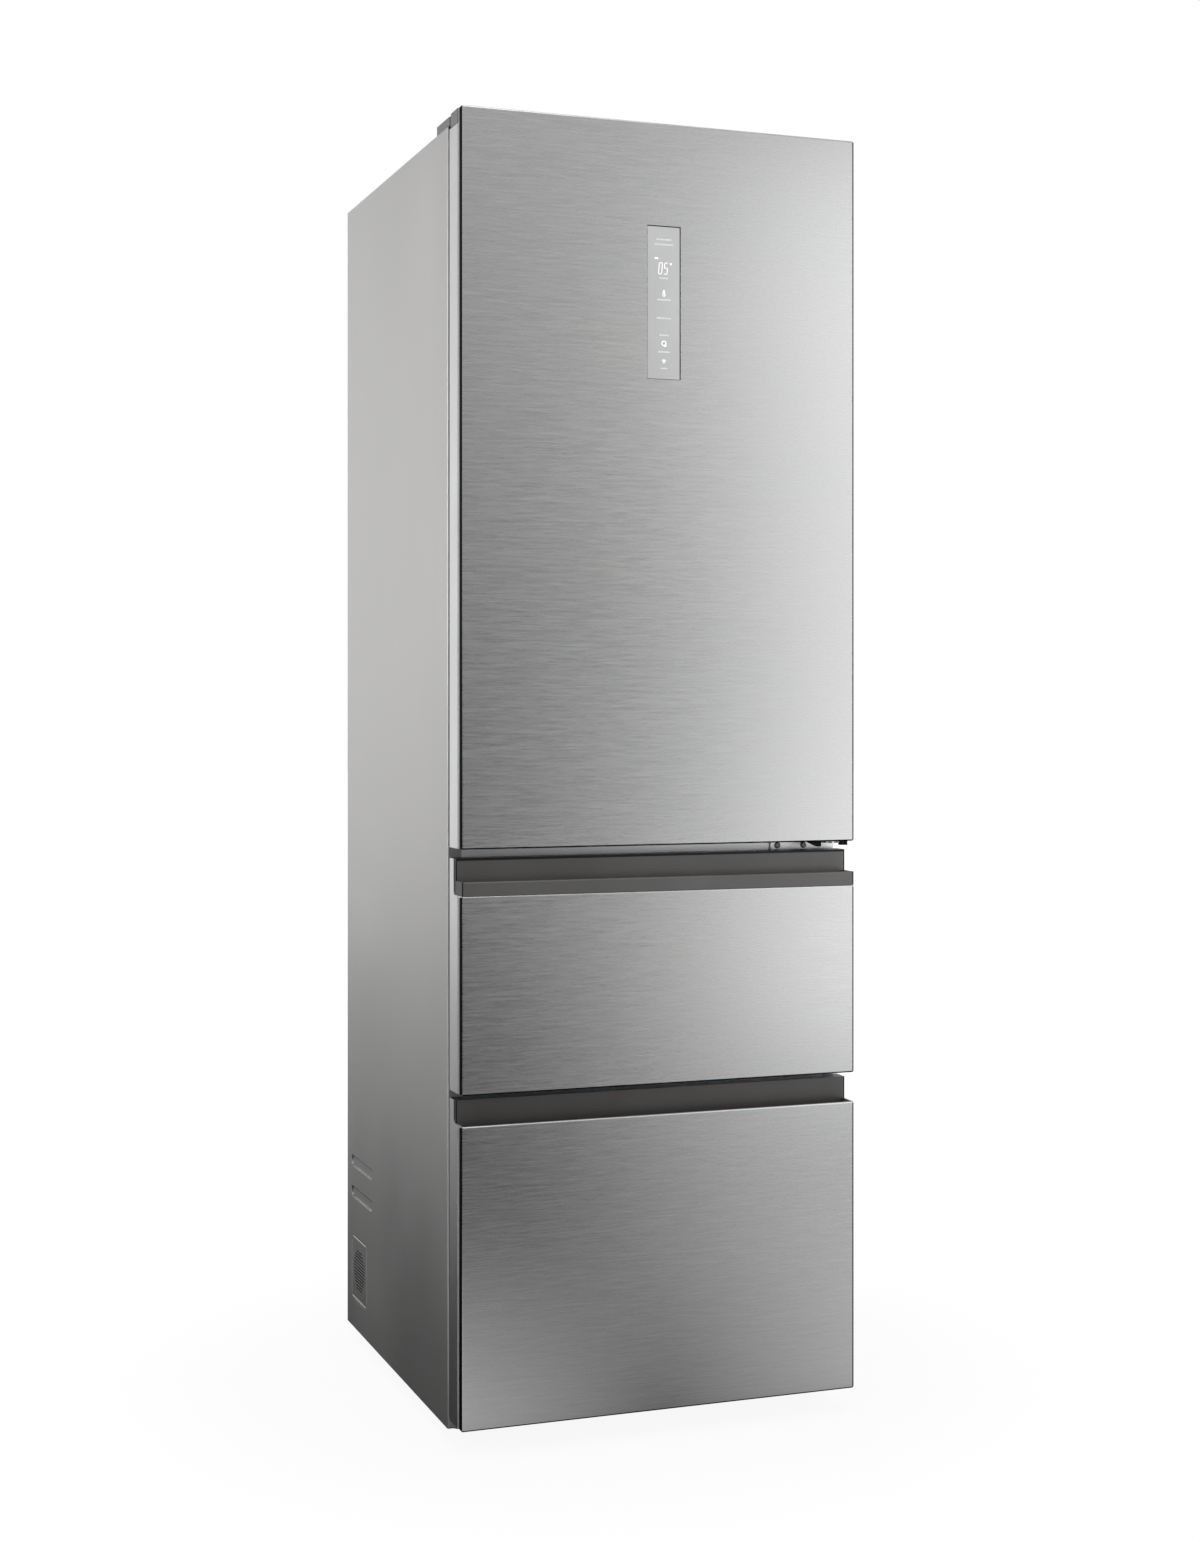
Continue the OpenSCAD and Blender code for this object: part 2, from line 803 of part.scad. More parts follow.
module press(z, grow, x) {
    spread(x, rrect(shrink(press_y, -grow), [z - grow, z + press_h + grow],
        press_h / 2 + grow - arc_fit));
}

module side_panel_left() {
    color("gainsboro") difference() {
        union() {
            rise([cab_z0, cab_z1], side_sheet_plan());
            for (z = press_zs) press(z, 0, [-half_w, -half_w + sheet_t + press_d]);
        }
        for (z = press_zs) press(z, -sheet_t, [-half_w - past, -half_w + press_d]);
        grille_square([-half_w - past, -half_w + sheet_t + past], 0);
    }
}

module side_panel_right() {
    color("gainsboro") mirror([1, 0, 0]) rise([cab_z0, cab_z1], side_sheet_plan());
}

// Level sheet between the side sheets, with a flange along its front edge
module folded_sheet(sheet_z, fold_z) {
    x = half_w - flange_w;
    rise(sheet_z, inside_plan());
    box([-x, x], [face_y, flange_y], fold_z);
    box([-x, x], [face_y, flange_y + sheet_t], sheet_z);
}

module top_panel() {
    color("gainsboro") union() folded_sheet([cab_z1 - sheet_t, cab_z1], [cab_z1 - flange_w, cab_z1]);
}

// Upright bead of the back sheet, grown by a margin
module bead(x, grow, y) {
    r = bead_w / 2 + grow;
    carry(y, rrect([x - r, x + r], [deck_z + bead_end - grow, cab_z1 - bead_end + grow], r - arc_fit));
}

module back_panel() {
    side = half_w - rear_flange_w;
    color("gainsboro") difference() {
        union() {
            box([-side, side], [back_in_y, rear_y], [deck_z, cab_z1]);
            for (i = [-1:1]) bead(i * bead_step, 0, [back_in_y, rear_y + bead_d]);
        }
        for (i = [-1:1]) bead(i * bead_step, -sheet_t, [back_in_y - past, rear_y + bead_d - sheet_t]);
    }
}

// Profile of the stepped deck, moved out by an offset
function deck_line(o) = [[deck_y - o, base_top], [deck_y - o, deck_z - slope_l + o * miter],
    [deck_y + slope_l - o * miter, deck_z + o], [back_in_y, deck_z + o]];

module machine_room_deck() {
    side = inner_half - sheet_r;
    color("silver") spread([-side, side], concat(deck_line(base_t), reversed(deck_line(0))));
}

ear_x = roller_w / 2 + ear_fit;

module base_plate() {
    ear_z = [roller_r - axle_r - ear_edge, base_top + ear_rise];
    color("darkgray") difference() {
        union() {
            folded_sheet([cab_z0, base_top], [cab_z0, cab_z0 + flange_w]);
            both_sides() translate([foot_x, foot_y, base_top]) cylinder(h = foot_travel, r = socket_r);
            both_sides() for (x = [roller_x - ear_x - ear_t, roller_x + ear_x])
                box([x, x + ear_t], about(roller_y, ear_l), ear_z);
            for (x = [-stud_x, stud_x], y = [-stud_y, stud_y])
                translate([compressor_x + x, compressor_y + y, base_top])
                    cylinder(h = stud_h, r = stud_r);
        }
        both_sides() translate([foot_x, foot_y, 0])
            cylinder(h = base_top + foot_travel + past, r = stem_r + running);
        both_sides() box(about(roller_x, 2 * ear_x), about(roller_y, 2 * (roller_r + roller_room)),
            [cab_z0 - past, base_top + past]);
    }
    color("darkgray") both_sides() translate([roller_x - ear_x - ear_t, roller_y, roller_r])
        rotate([0, 90, 0]) cylinder(h = 2 * (ear_x + ear_t), r = axle_r);
}

// Foam and liners

// Side outline of the bottom compartment, drawn in by an offset
function bottom_room(o) = [[foam_y - past, bottom_z[0] + o], [step_y - o, bottom_z[0] + o],
    [step_y - o, step_z - slope_l + o * miter], [step_y + slope_l - o * miter, step_z + o],
    [freezer_back - o, step_z + o], [freezer_back - o, bottom_z[1] - o],
    [foam_y - past, bottom_z[1] - o]];

module cabinet_foam() {
    machine_side = deck_line(base_t);
    color("khaki") difference() {
        rise([base_top, cab_z1 - sheet_t], inside_plan());
        box([-half_w, half_w], [face_y, foam_y], [base_top - past, cab_z1]);
        box([-fridge_half, fridge_half], [foam_y - past, fridge_back], fridge_z);
        box([-freezer_half, freezer_half], [foam_y - past, freezer_back], middle_z);
        spread([-freezer_half, freezer_half], bottom_room(0));
        spread([-half_w, half_w], concat([[deck_y - base_t, base_top - past]],
            [machine_side[1], machine_side[2]],
            [[back_in_y + past, deck_z + base_t], [back_in_y + past, base_top - past]]));
        for (z = [rail_z, lower_rail_z])
            box([-half_w + flange_w, half_w - flange_w], [foam_y - past, foam_y + web_d],
                about(z, web_t));
        for (z = press_zs) press(z, 0, [-half_w, -half_w + sheet_t + press_d]);
        both_sides() translate([foot_x, foot_y, base_top - past])
            cylinder(h = stem_top - base_top + 2 * past, r = socket_r);
    }
}

// Flange of a liner behind the front sheets, with its mouth
module liner_flange(z, mouth_x, mouth_z) {
    side = inner_half - sheet_r;
    difference() {
        box([-side, side], [flange_y, foam_y], z);
        box([-mouth_x, mouth_x], [flange_y - past, foam_y + past], mouth_z);
    }
}

module box_liner(half, z, back, flange_z) {
    difference() {
        box([-half, half], [flange_y, back], z);
        box([-half + liner_t, half - liner_t], [flange_y - past, back - liner_t], shrink(z, liner_t));
    }
    liner_flange(flange_z, half, z);
}

module fridge_liner() {
    color("white") union() {
        box_liner(fridge_half, fridge_z, fridge_back, [rail_z + web_t / 2, cab_z1 - sheet_t]);
        both_sides() for (z = shelf_zs)
            box([fridge_in - rib_w, fridge_in + liner_t / 2],
                shrink([shelf_y0, shelf_y1], trim_d + glass_fit), [z - rib_h, z]);
    }
}

module middle_liner() {
    color("white") union() box_liner(freezer_half, middle_z, freezer_back,
        shrink([lower_rail_z, rail_z], web_t / 2));
}

module bottom_liner() {
    color("white") union() {
        difference() {
            spread([-freezer_half, freezer_half], [for (p = bottom_room(0)) [max(p[0], flange_y), p[1]]]);
            spread([-freezer_in, freezer_in], bottom_room(liner_t));
            box([-freezer_in, freezer_in], [flange_y - past, foam_y], shrink(bottom_z, liner_t));
        }
        liner_flange([base_top, lower_rail_z - web_t / 2], freezer_half, bottom_z);
    }
}

// T-shaped rail between two compartments
module rail(z) {
    x = [-half_w + flange_w, half_w - flange_w];
    union() {
        box(x, [face_y, flange_y], about(z, partition_t - 2 * rail_in));
        box(x, [flange_y - lap, foam_y + web_d], about(z, web_t));
    }
}

module centre_rail() {
    color("silver") rail(rail_z);
}

module lower_rail() {
    color("silver") rail(lower_rail_z);
}

// Top cover and hinges

top_cover_y = [face_y - top_cover_lead, face_y + top_cover_back];

module top_cover() {
    z = [cab_z1, cab_z1 + top_cover_h];
    notch_x = hinge_x - arm_w / 2 - notch_fit;
    color("gray") difference() {
        rise(z, rrect([-half_w, half_w], top_cover_y, top_cover_r));
        box([-half_w + cover_t, half_w - cover_t], shrink(top_cover_y, cover_t),
            [z[0] - past, z[1] - cover_t]);
        box([notch_x, half_w + past], [top_cover_y[0] - past, top_cover_y[0] + cover_t + past],
            [z[0] - past, z[0] + hinge_t + past]);
    }
}

top_plate_x = [hinge_x + arm_w / 2 - top_plate_w, hinge_x + arm_w / 2];
top_plate_y = [face_y + plate_in, face_y + plate_in + top_plate_d];

top_screws = [for (x = shrink(top_plate_x, screw_in), y = shrink(top_plate_y, screw_in)) [x, y]];

module top_hinge() {
    z = cab_z1;
    color("silver") difference() {
        union() {
            rise([z, z + hinge_t], rrect(top_plate_x, top_plate_y, hinge_plate_r));
            box(about(hinge_x, arm_w), [hinge_y, face_y + 2 * screw_in], [z, z + hinge_t]);
            translate([hinge_x, hinge_y, z]) cylinder(h = hinge_t, r = arm_w / 2);
            translate([hinge_x, hinge_y, recess_z - pin_l])
                cylinder(h = z + hinge_t - recess_z + pin_l, r = pin_r);
        }
        for (p = top_screws) translate([p[0], p[1], z]) drill(hinge_t, screw_r + screw_fit);
    }
}

hinge_plate_x = [half_w - plate_in - hinge_plate_l, half_w - plate_in];
hinge_plate_z = [arm_z1 - hinge_plate_h, arm_z1];
middle_screws = [for (i = [0, 1]) hinge_plate_x[0] + screw_in + i * screw_step];
lug_w = pin_r + pin_fit;

// Plate on the rail, level arm with the lower pin, and two lugs before the arm
module middle_hinge() {
    screw_z = (hinge_plate_z[0] + hinge_plate_z[1]) / 2;
    lug_y = [hinge_y - arm_w / 2 - lug_w, hinge_y - pin_r];
    color("silver") difference() {
        union() {
            carry([face_y - hinge_t, face_y], rrect(hinge_plate_x, hinge_plate_z, hinge_plate_r));
            box([hinge_x - arm_w, hinge_x + arm_w / 2], [hinge_y, face_y - hinge_t / 2], [arm_z0, arm_z1]);
            for (x = [hinge_x - arm_w / 2, hinge_x])
                translate([x, hinge_y, arm_z0]) cylinder(h = hinge_t, r = arm_w / 2);
            translate([hinge_x, hinge_y, arm_z0]) cylinder(h = door_z0 + pin_l - arm_z0, r = pin_r);
            translate([hinge_x, hinge_y, arm_z1 - lap])
                cylinder(h = door_z0 - arm_z1 + lap - touch, r = 2 * pin_r);
            for (x = [hinge_x + lug_w / 2, hinge_x + 2 * lug_w])
                box([x, x + lug_w], lug_y, [arm_z0 - hinge_t, arm_z1 - lap]);
        }
        for (x = middle_screws) translate([x, face_y, screw_z]) rotate([90, 0, 0])
            drill(hinge_t, screw_r + screw_fit);
    }
}

// Screw with a domed cross-recessed head, standing on a plate of thickness t
module screw(t) {
    cap = screw_head_r / 4;
    slot = screw_head_r / 2;
    difference() {
        union() {
            cylinder(h = t, r = screw_r);
            translate([0, 0, t]) cylinder(h = cap, r = screw_head_r);
            translate([0, 0, t + cap]) cylinder(h = cap, r1 = screw_head_r, r2 = screw_head_r - cap);
        }
        for (a = [0, 90]) rotate([0, 0, a])
            box([-slot, slot], about(0, cap), [t + cap, t + 2 * cap + past]);
    }
}

module hinge_screws() {
    color("dimgray") union() {
        for (p = top_screws) translate([p[0], p[1], cab_z1]) screw(hinge_t);
        for (x = middle_screws)
            translate([x, face_y, (hinge_plate_z[0] + hinge_plate_z[1]) / 2]) rotate([90, 0, 0])
                screw(hinge_t);
    }
}

// Refrigerator compartment

shelf_x = fridge_in - glass_fit;

module glass_shelves() {
    color("lightcyan", 0.5) for (z = shelf_zs)
        box([-shelf_x, shelf_x], shrink([shelf_y0, shelf_y1], trim_wall), [z, z + glass_t]);
}

// Edge trim of a glass shelf: a bar with a groove for the glass
module shelf_trim(y0, y1, z, open_back) {
    groove_y = open_back ? [y0 + trim_wall, y1 + past] : [y0 - past, y1 - trim_wall];
    difference() {
        box([-shelf_x, shelf_x], [y0, y1], [z - trim_under, z + glass_t + trim_over]);
        box([-fridge_in, fridge_in], groove_y, [z, z + glass_t]);
    }
}

module shelf_trims() {
    color("lightgray") for (z = shelf_zs) {
        shelf_trim(shelf_y0, shelf_y0 + trim_d, z, true);
        shelf_trim(shelf_y1 - trim_d, shelf_y1, z, false);
    }
}

// Drawer under a glass shelf, with a folded pull along its front edge
module shelf_drawer(z0, z1) {
    x = [-fridge_in + drawer_side, fridge_in - drawer_side];
    y = [shelf_y0 + drawer_side, duct_y - drawer_side];
    pull_y = y[0] - pull_out;
    union() {
        tub(x, y, [z0, z1]);
        box(shrink(x, pull_in), [pull_y, y[0] + past], [z1 - bin_t, z1]);
        box(shrink(x, pull_in), [pull_y, pull_y + bin_t], [z1 - pull_h, z1]);
    }
}

drawer_clear = trim_under + drawer_over;

module crisper_drawer() {
    color("azure", 0.6) shelf_drawer(fridge_z[0] + liner_t, crisper_shelf_z - drawer_clear);
}

module chill_drawer() {
    color("azure", 0.6) shelf_drawer(crisper_shelf_z + glass_t + trim_over,
        chill_shelf_z - drawer_clear);
}

// Duct on the rear wall with groups of vent slots over the shelves
module air_duct() {
    x = duct_w / 2;
    back = duct_y + duct_d;
    z = [chill_shelf_z, fridge_z[1] - liner_t - duct_flare];
    color("white") difference() {
        rise(z, [[x + duct_flare, back], [-x - duct_flare, back], [-x, duct_y], [x, duct_y]]);
        box([-x + duct_t, x - duct_t], [duct_y + duct_t, back + past], shrink(z, duct_t));
        for (i = [1:3], s = [-1, 1], k = [0:2])
            box(about(s * vent_x, vent_w), [duct_y - past, duct_y + duct_t + past],
                about(shelf_zs[i] + vent_rise + k * vent_step, vent_h));
    }
}

module fridge_lamp() {
    z = fridge_z[1] - liner_t;
    y0 = shelf_y0 - lamp_lead;
    color("ivory") rise([z - lamp_h, z], rrect(about(0, lamp_l), [y0, y0 + lamp_w], lamp_h));
}

// Fans

// Axial fan about Z: a hub with a blind bore and pitched blades
module axial_fan(r, hub_r, chord, blades) {
    reach = r - hub_r;
    difference() {
        union() {
            cylinder(h = fan_hub_h, r = hub_r);
            for (i = [0:blades - 1]) rotate([0, 0, i * 360 / blades])
                translate([hub_r + reach / 2 - past, 0, fan_hub_h / 2])
                    rotate([blade_pitch, 0, 0]) cube([reach, chord, blade_t], center = true);
        }
        translate([0, 0, fan_hub_h - shaft_l]) cylinder(h = shaft_l + past, r = shaft_r + running);
    }
}

// Motor with its shaft about Z, held in a ring by struts
module fan_motor(ring_r, motor_r) {
    z = fan_gap + fan_hub_h + motor_gap;
    translate([0, 0, z]) cylinder(h = fan_depth - z, r = motor_r);
    translate([0, 0, z - shaft_l]) cylinder(h = shaft_l + past, r = shaft_r);
    for (a = [30:120:270]) rotate([0, 0, a])
        box([motor_r - past, ring_r + past], about(0, strut_w), [fan_depth - strut_t, fan_depth]);
}

module fan_frame() {
    hole = fan_frame / 2 - fan_hole_in;
    color("dimgray") translate([fan_x, fan_y, fan_z]) rotate([0, 90, 0]) union() {
        difference() {
            rise([0, fan_depth], rrect(about(0, fan_frame), about(0, fan_frame), fan_frame_r));
            drill(fan_depth, fan_r + tip_fit);
            for (x = [-hole, hole], y = [-hole, hole])
                translate([x, y, 0]) drill(fan_depth, screw_r);
        }
        fan_motor(fan_r + tip_fit, fan_motor_r);
    }
}

module condenser_fan() {
    color("dimgray") translate([fan_x + fan_gap, fan_y, fan_z]) rotate([0, 90, 0])
        axial_fan(fan_r, fan_hub_r, blade_w, 5);
}

// Machine room

// Coil along Y: one tube to and fro through upright fins, in two columns of five runs
module coil(x, y, z, fins, foot_z) {
    step = (z[1] - z[0]) / 5;
    side = (x[1] - x[0]) / 4;
    tube_y = shrink(y, -tube_out);
    union() {
        for (i = [0:fins - 1]) {
            at = y[0] + (y[1] - y[0] - fin_t) * i / (fins - 1);
            low = (i == 0 || i == fins - 1) ? foot_z : z[0];
            box(x, [at, at + fin_t], [low, z[1]]);
        }
        for (xi = [x[0] + side, x[1] - side]) {
            for (k = [0:4]) translate([xi, tube_y[0], z[0] + (k + 0.5) * step])
                rotate([-90, 0, 0]) cylinder(h = tube_y[1] - tube_y[0], r = tube_r);
            for (k = [0:3]) translate([xi, tube_y[(k + 1) % 2], z[0] + (k + 1) * step])
                rotate([0, 90, 180 * (k % 2)]) bend(step / 2, tube_r, 180);
        }
    }
}

condenser_x = [-half_w + condenser_in, -half_w + condenser_in + condenser_d];

module condenser() {
    color("peru") coil(condenser_x, [deck_y + condenser_front, roller_y - condenser_rear],
        [base_top + coil_rise, deck_z - condenser_over], condenser_fins, base_top);
}

module evaporator() {
    x = freezer_in - evap_side;
    y = [duct_panel_y + duct_panel_t + evap_fit, freezer_back - liner_t - evap_fit];
    floor_z = middle_z[0] + liner_t;
    fin_z = floor_z + coil_rise;
    color("lightgray") rotate([0, 0, 90])
        coil(y, [-x, x], [fin_z, fin_z + evap_h], evap_fins, floor_z);
}

// Half outline of the compressor's housing
function housing_outline() = let (r = compressor_r, q = housing_r, top = compressor_h - dome_h) concat(
    [[0, 0]], arc(r - q, q, q, 270, 360),
    [[r, seam_z], [r + seam_w, seam_z], [r + seam_w, seam_z + seam_w], [r, seam_z + seam_w]],
    [for (a = [0:15:90]) [r * cos(a), top + dome_h * sin(a)]]);

return_x = -compressor_r - pan_m - pipe_gap;
return_z = pipe_z - 2 * bend_r;

// Return pipe: out of the housing, then up to the deck
module return_pipe() {
    translate([return_x + bend_r, return_y, return_z]) rotate([0, 90, 0])
        cylinder(h = -return_x - bend_r - compressor_r / 2, r = pipe_r);
    translate([return_x + bend_r, return_y, return_z + bend_r]) rotate([90, 180, 0])
        bend(bend_r, pipe_r, 90);
    translate([return_x, return_y, return_z + bend_r])
        cylinder(h = deck_z - compressor_z - foot_plate_t - return_z - bend_r, r = pipe_r);
}

module compressor() {
    plate_x = stud_x + foot_plate_m;
    plate_y = stud_y + foot_plate_m;
    color("black") translate([compressor_x, compressor_y, compressor_z]) union() {
        difference() {
            rise([0, foot_plate_t], rrect([-plate_x, plate_x], [-plate_y, plate_y], foot_plate_m));
            for (x = [-stud_x, stud_x], y = [-stud_y, stud_y])
                translate([x, y, 0]) drill(foot_plate_t, screw_r);
        }
        translate([0, 0, foot_plate_t - lap]) rotate_extrude() polygon(housing_outline());
        box(about(0, terminal_w), [-compressor_r - terminal_d, -compressor_r / 2],
            [terminal_z, terminal_z + terminal_h]);
        translate([0, 0, foot_plate_t]) return_pipe();
        translate([condenser_x[1] - compressor_x, -pipe_y, foot_plate_t + pipe_z]) rotate([0, 90, 0])
            cylinder(h = compressor_x - condenser_x[1] - compressor_r / 2, r = pipe_r);
    }
}

module drain_pan() {
    z = compressor_top + touch;
    reach = 2 * (compressor_r + pan_m);
    color("lightgray")
        tub(about(compressor_x, reach), about(compressor_y, reach), [z, z + pan_h], pan_r, pan_t);
}

// Square of the side grille, grown by a margin
module grille_square(x, grow) {
    spread(x, rrect(about(grille_y, grille_w + 2 * grow), about(grille_z, grille_w + 2 * grow),
        grille_corner + grow));
}

// Plate in the side sheet's window, with a flange and ring behind it and a round field of slots
module side_grille() {
    rows = floor(grille_r / slot_step);
    sheet = -half_w + sheet_t;
    back = sheet + cover_t;
    color("gray") difference() {
        union() {
            grille_square([-half_w, back], -grille_fit);
            grille_square([sheet, back], grille_lap);
            translate([back - lap, grille_y, grille_z]) rotate([0, 90, 0])
                ring(ring_h, grille_r + ring_fit, cover_t);
        }
        for (k = [-rows:rows]) {
            half = sqrt(pow(grille_r, 2) - pow(k * slot_step, 2)) - arc_fit;
            if (half > slot_h)
                spread([-half_w - past, back + past], rrect(about(grille_y, 2 * half),
                    about(grille_z + k * slot_step, slot_h), slot_h / 2 - arc_fit, 3));
        }
    }
}

gland_x = half_w - gland_in;
gland_z = cab_z0 + gland_rise;

module machine_cover() {
    y = [rear_y, rear_y + cover_d];
    x = half_w - cover_in;
    z = [cab_z0 + cover_in, deck_z + cover_lap];
    columns = floor((x - cover_step_x) / cover_step_x) - 1;
    wall = 1.5 * cover_t;
    color("silver") difference() {
        carry(y, rrect([-x, x], z, cover_r));
        carry([y[0] - past, y[1] - cover_t], rrect([-x + wall, x - wall], shrink(z, wall), cover_r - wall));
        for (i = [-columns:columns], k = [0:2])
            carry([y[0], y[1] + past], rrect(about(i * cover_step_x, cover_slot_w),
                [for (e = [0, cover_slot_h]) z[0] + cover_slot_rise + k * cover_step_z + e],
                cover_slot_w / 2 - arc_fit, 3));
        translate([gland_x, y[1], gland_z]) rotate([90, 0, 0]) drill(cover_t, gland_r);
    }
}

module cord_gland() {
    color("black") translate([gland_x, rear_y + cover_d, gland_z]) rotate([90, 0, 0]) difference() {
        union() {
            cylinder(h = cover_t, r = gland_r);
            translate([0, 0, cover_t]) cylinder(h = collar_d, r = gland_r + collar_w);
        }
        drill(cover_t + collar_d, cord_r);
    }
}

// Freezer duct panel with the evaporator fan's ring and motor behind it

ice_fan_z = middle_z[1] - liner_t - ice_fan_r - ice_fan_drop;
ice_fan_y = duct_panel_y + duct_panel_t;

module freezer_duct() {
    z = shrink(middle_z, liner_t);
    x = freezer_in - running;
    cut = [duct_panel_y - past, ice_fan_y + past];
    color("white") difference() {
        union() {
            box([-x, x], [duct_panel_y, duct_panel_y + duct_panel_t], [z[0], z[1] - running]);
            translate([0, ice_fan_y - lap, ice_fan_z]) rotate([-90, 0, 0])
                ring(fan_depth, ice_fan_r + tip_fit, ring_t);
            translate([0, ice_fan_y, ice_fan_z]) rotate([-90, 0, 0])
                fan_motor(ice_fan_r + tip_fit, ice_hub_r);
        }
        for (k = [-3:3]) {
            half = sqrt(pow(ice_fan_r, 2) - pow(k * vent_step, 2));
            box([-half, half], cut, about(ice_fan_z + k * vent_step, 1.5 * vent_h));
        }
        for (s = [-1, 1], k = [0:3])
            box(about(2 * s * vent_x, 1.5 * vent_w), cut,
                about(z[0] + vent_rise / 2 + k * 1.5 * vent_step, 1.5 * vent_h));
    }
}

module evaporator_fan() {
    color("dimgray") translate([0, ice_fan_y + fan_gap, ice_fan_z]) rotate([-90, 0, 0])
        axial_fan(ice_fan_r, ice_hub_r, ice_blade_w, 5);
}

// Telescopic runners: each member is a folded profile, drawn for the right side

rail_x = freezer_in;
rail_tip = rail_x - runner_w + runner_fit + runner_t;
slide_web = rail_x - runner_t - runner_fit;
slide_tip = rail_tip + runner_fit;
inner_web = rail_x - runner_w;
inner_tip = slide_web - runner_t - runner_fit;

// Channel profile about a runner's axis: a web and two flanges, with lips if asked
function channel(web, tip, h, t, lip) = let (s = sign(tip - web)) concat(
    [[web, -h / 2], [tip, -h / 2], [tip, -h / 2 + lip], [tip - s * t, -h / 2 + lip],
        [tip - s * t, -h / 2 + t], [web + s * t, -h / 2 + t]],
    [[web + s * t, h / 2 - t], [tip - s * t, h / 2 - t], [tip - s * t, h / 2 - lip],
        [tip, h / 2 - lip], [tip, h / 2], [web, h / 2]]);

function plain_channel(web, tip, h, t) = let (s = sign(tip - web))
    [[web, -h / 2], [tip, -h / 2], [tip, -h / 2 + t], [web + s * t, -h / 2 + t],
        [web + s * t, h / 2 - t], [tip, h / 2 - t], [tip, h / 2], [web, h / 2]];

module runner_rail(z) {
    translate([0, 0, z])
        carry([runner_y0, runner_y1], channel(rail_x, rail_tip, rail_h, runner_t, runner_lip));
}

// Row of balls in their cage along Y, in a gap above z
module ball_row(z, gap) {
    r = (gap - ball_fit) / 2;
    x = (slide_tip + inner_tip) / 2;
    mid = (runner_y0 + runner_y1) / 2;
    first = mid - (ball_count - 1) / 2 * ball_step;
    for (i = [0:ball_count - 1])
        translate([x, first + i * ball_step, z + r - lap]) sphere(r = r);
    box(about(x, cage_w), about(mid, ball_count * ball_step), about(z + r - lap, cage_t));
}

// Middle member with a ball row outside and inside each flange
module runner_slide(z) {
    outer = (rail_h - slide_h) / 2 - runner_t;
    inner = (slide_h - inner_h) / 2 - runner_t;
    translate([0, 0, z]) union() {
        carry(shrink([runner_y0, runner_y1], runner_set),
            plain_channel(slide_web, slide_tip, slide_h, runner_t));
        for (s = [0, 1]) mirror([0, 0, s]) {
            ball_row(slide_h / 2, outer);
            translate([0, 0, slide_h / 2 - runner_t]) mirror([0, 0, 1]) ball_row(0, inner);
        }
    }
}

// Inner member with its ledge for the bin and its bracket to the drawer's frame
module runner_inner(z) {
    translate([0, 0, z]) union() {
        carry([door_back_y, inner_y1], plain_channel(inner_web, inner_tip, inner_h, runner_t));
        box([ledge_x, inner_web + lap], [door_back_y, inner_y1],
            [-inner_h / 2, -inner_h / 2 + runner_t]);
        box([ledge_x, inner_web + runner_t], [door_back_y, door_back_y + bracket_t],
            about(0, inner_h + 2 * bracket_h));
    }
}

module runner_rails() {
    color("silver") both_sides() for (z = [middle_runner_z, bottom_runner_z]) runner_rail(z);
}

module middle_slides() {
    color("silver") both_sides() runner_slide(middle_runner_z);
}

module bottom_slides() {
    color("silver") both_sides() runner_slide(bottom_runner_z);
}

module middle_runners() {
    color("silver") both_sides() runner_inner(middle_runner_z);
}

module bottom_runners() {
    color("silver") both_sides() runner_inner(bottom_runner_z);
}

// Feet and rollers

module foot() {
    color("dimgray") translate([foot_x, foot_y, 0]) union() {
        cylinder(h = pad_h, r = foot_r);
        cylinder(h = pad_h + hex_h, r = hex_r, $fn = 6);
        cylinder(h = stem_top, r = stem_r);
    }
}

module front_foot_right() {
    foot();
}

module front_foot_left() {
    mirror([1, 0, 0]) foot();
}

module roller() {
    color("dimgray") translate([roller_x - roller_w / 2, roller_y, roller_r]) rotate([0, 90, 0])
        difference() {
            union() {
                cylinder(h = roller_w, r = roller_r - roller_edge);
                translate([0, 0, roller_edge]) cylinder(h = roller_w - 2 * roller_edge, r = roller_r);
            }
            drill(roller_w, axle_r + running);
        }
}

module rear_roller_right() {
    roller();
}

module rear_roller_left() {
    mirror([1, 0, 0]) roller();
}

// Upper door

display_z = [door_z1 - display_drop - display_h, door_z1 - display_drop];

module display_hole(y) {
    box(about(0, display_w + 2 * display_fit), y, shrink(display_z, -display_fit));
}

// Steel front: a flat sheet with folded returns, at its top edge if asked
module steel_front(z, top_return) {
    back = front_y + skin_return;
    inner_top = top_return ? z[1] - skin_t : z[1] + skin_r;
    color("silver") difference() {
        carry([front_y, back], rrect([-half_w, half_w], z, skin_r));
        carry([front_y + skin_t, back + past],
            rrect([-half_w + skin_t, half_w - skin_t], [z[0] + skin_t, inner_top], skin_r - skin_t));
    }
}

module door_front() {
    difference() {
        steel_front([door_z0, door_z1], true);
        display_hole([front_y - past, front_y + skin_t + past]);
    }
}

// Plastic frame and core of a front up to a level, stepped in behind the steel returns
module front_core(z) {
    carry([front_y + skin_t, front_y + reveal_d],
        rrect([-half_w + skin_t, half_w - skin_t], shrink(z, skin_t), skin_r - skin_t));
    carry([front_y + reveal_d, door_back_y], rrect([-half_w, half_w], z, skin_r - skin_t));
}

// Hooked stop under the door: a wedge that ends in a lug
module door_stop() {
    x = hinge_x - stop_in;
    z = door_z0 - stop_h;
    lug = stop_l / 4;
    carry(about(hinge_y, stop_d), [[x - stop_l, door_z0 + lap], [x - stop_l, door_z0 - stop_h / 4],
        [x - lug, z], [x, z], [x, door_z0 + lap]]);
}

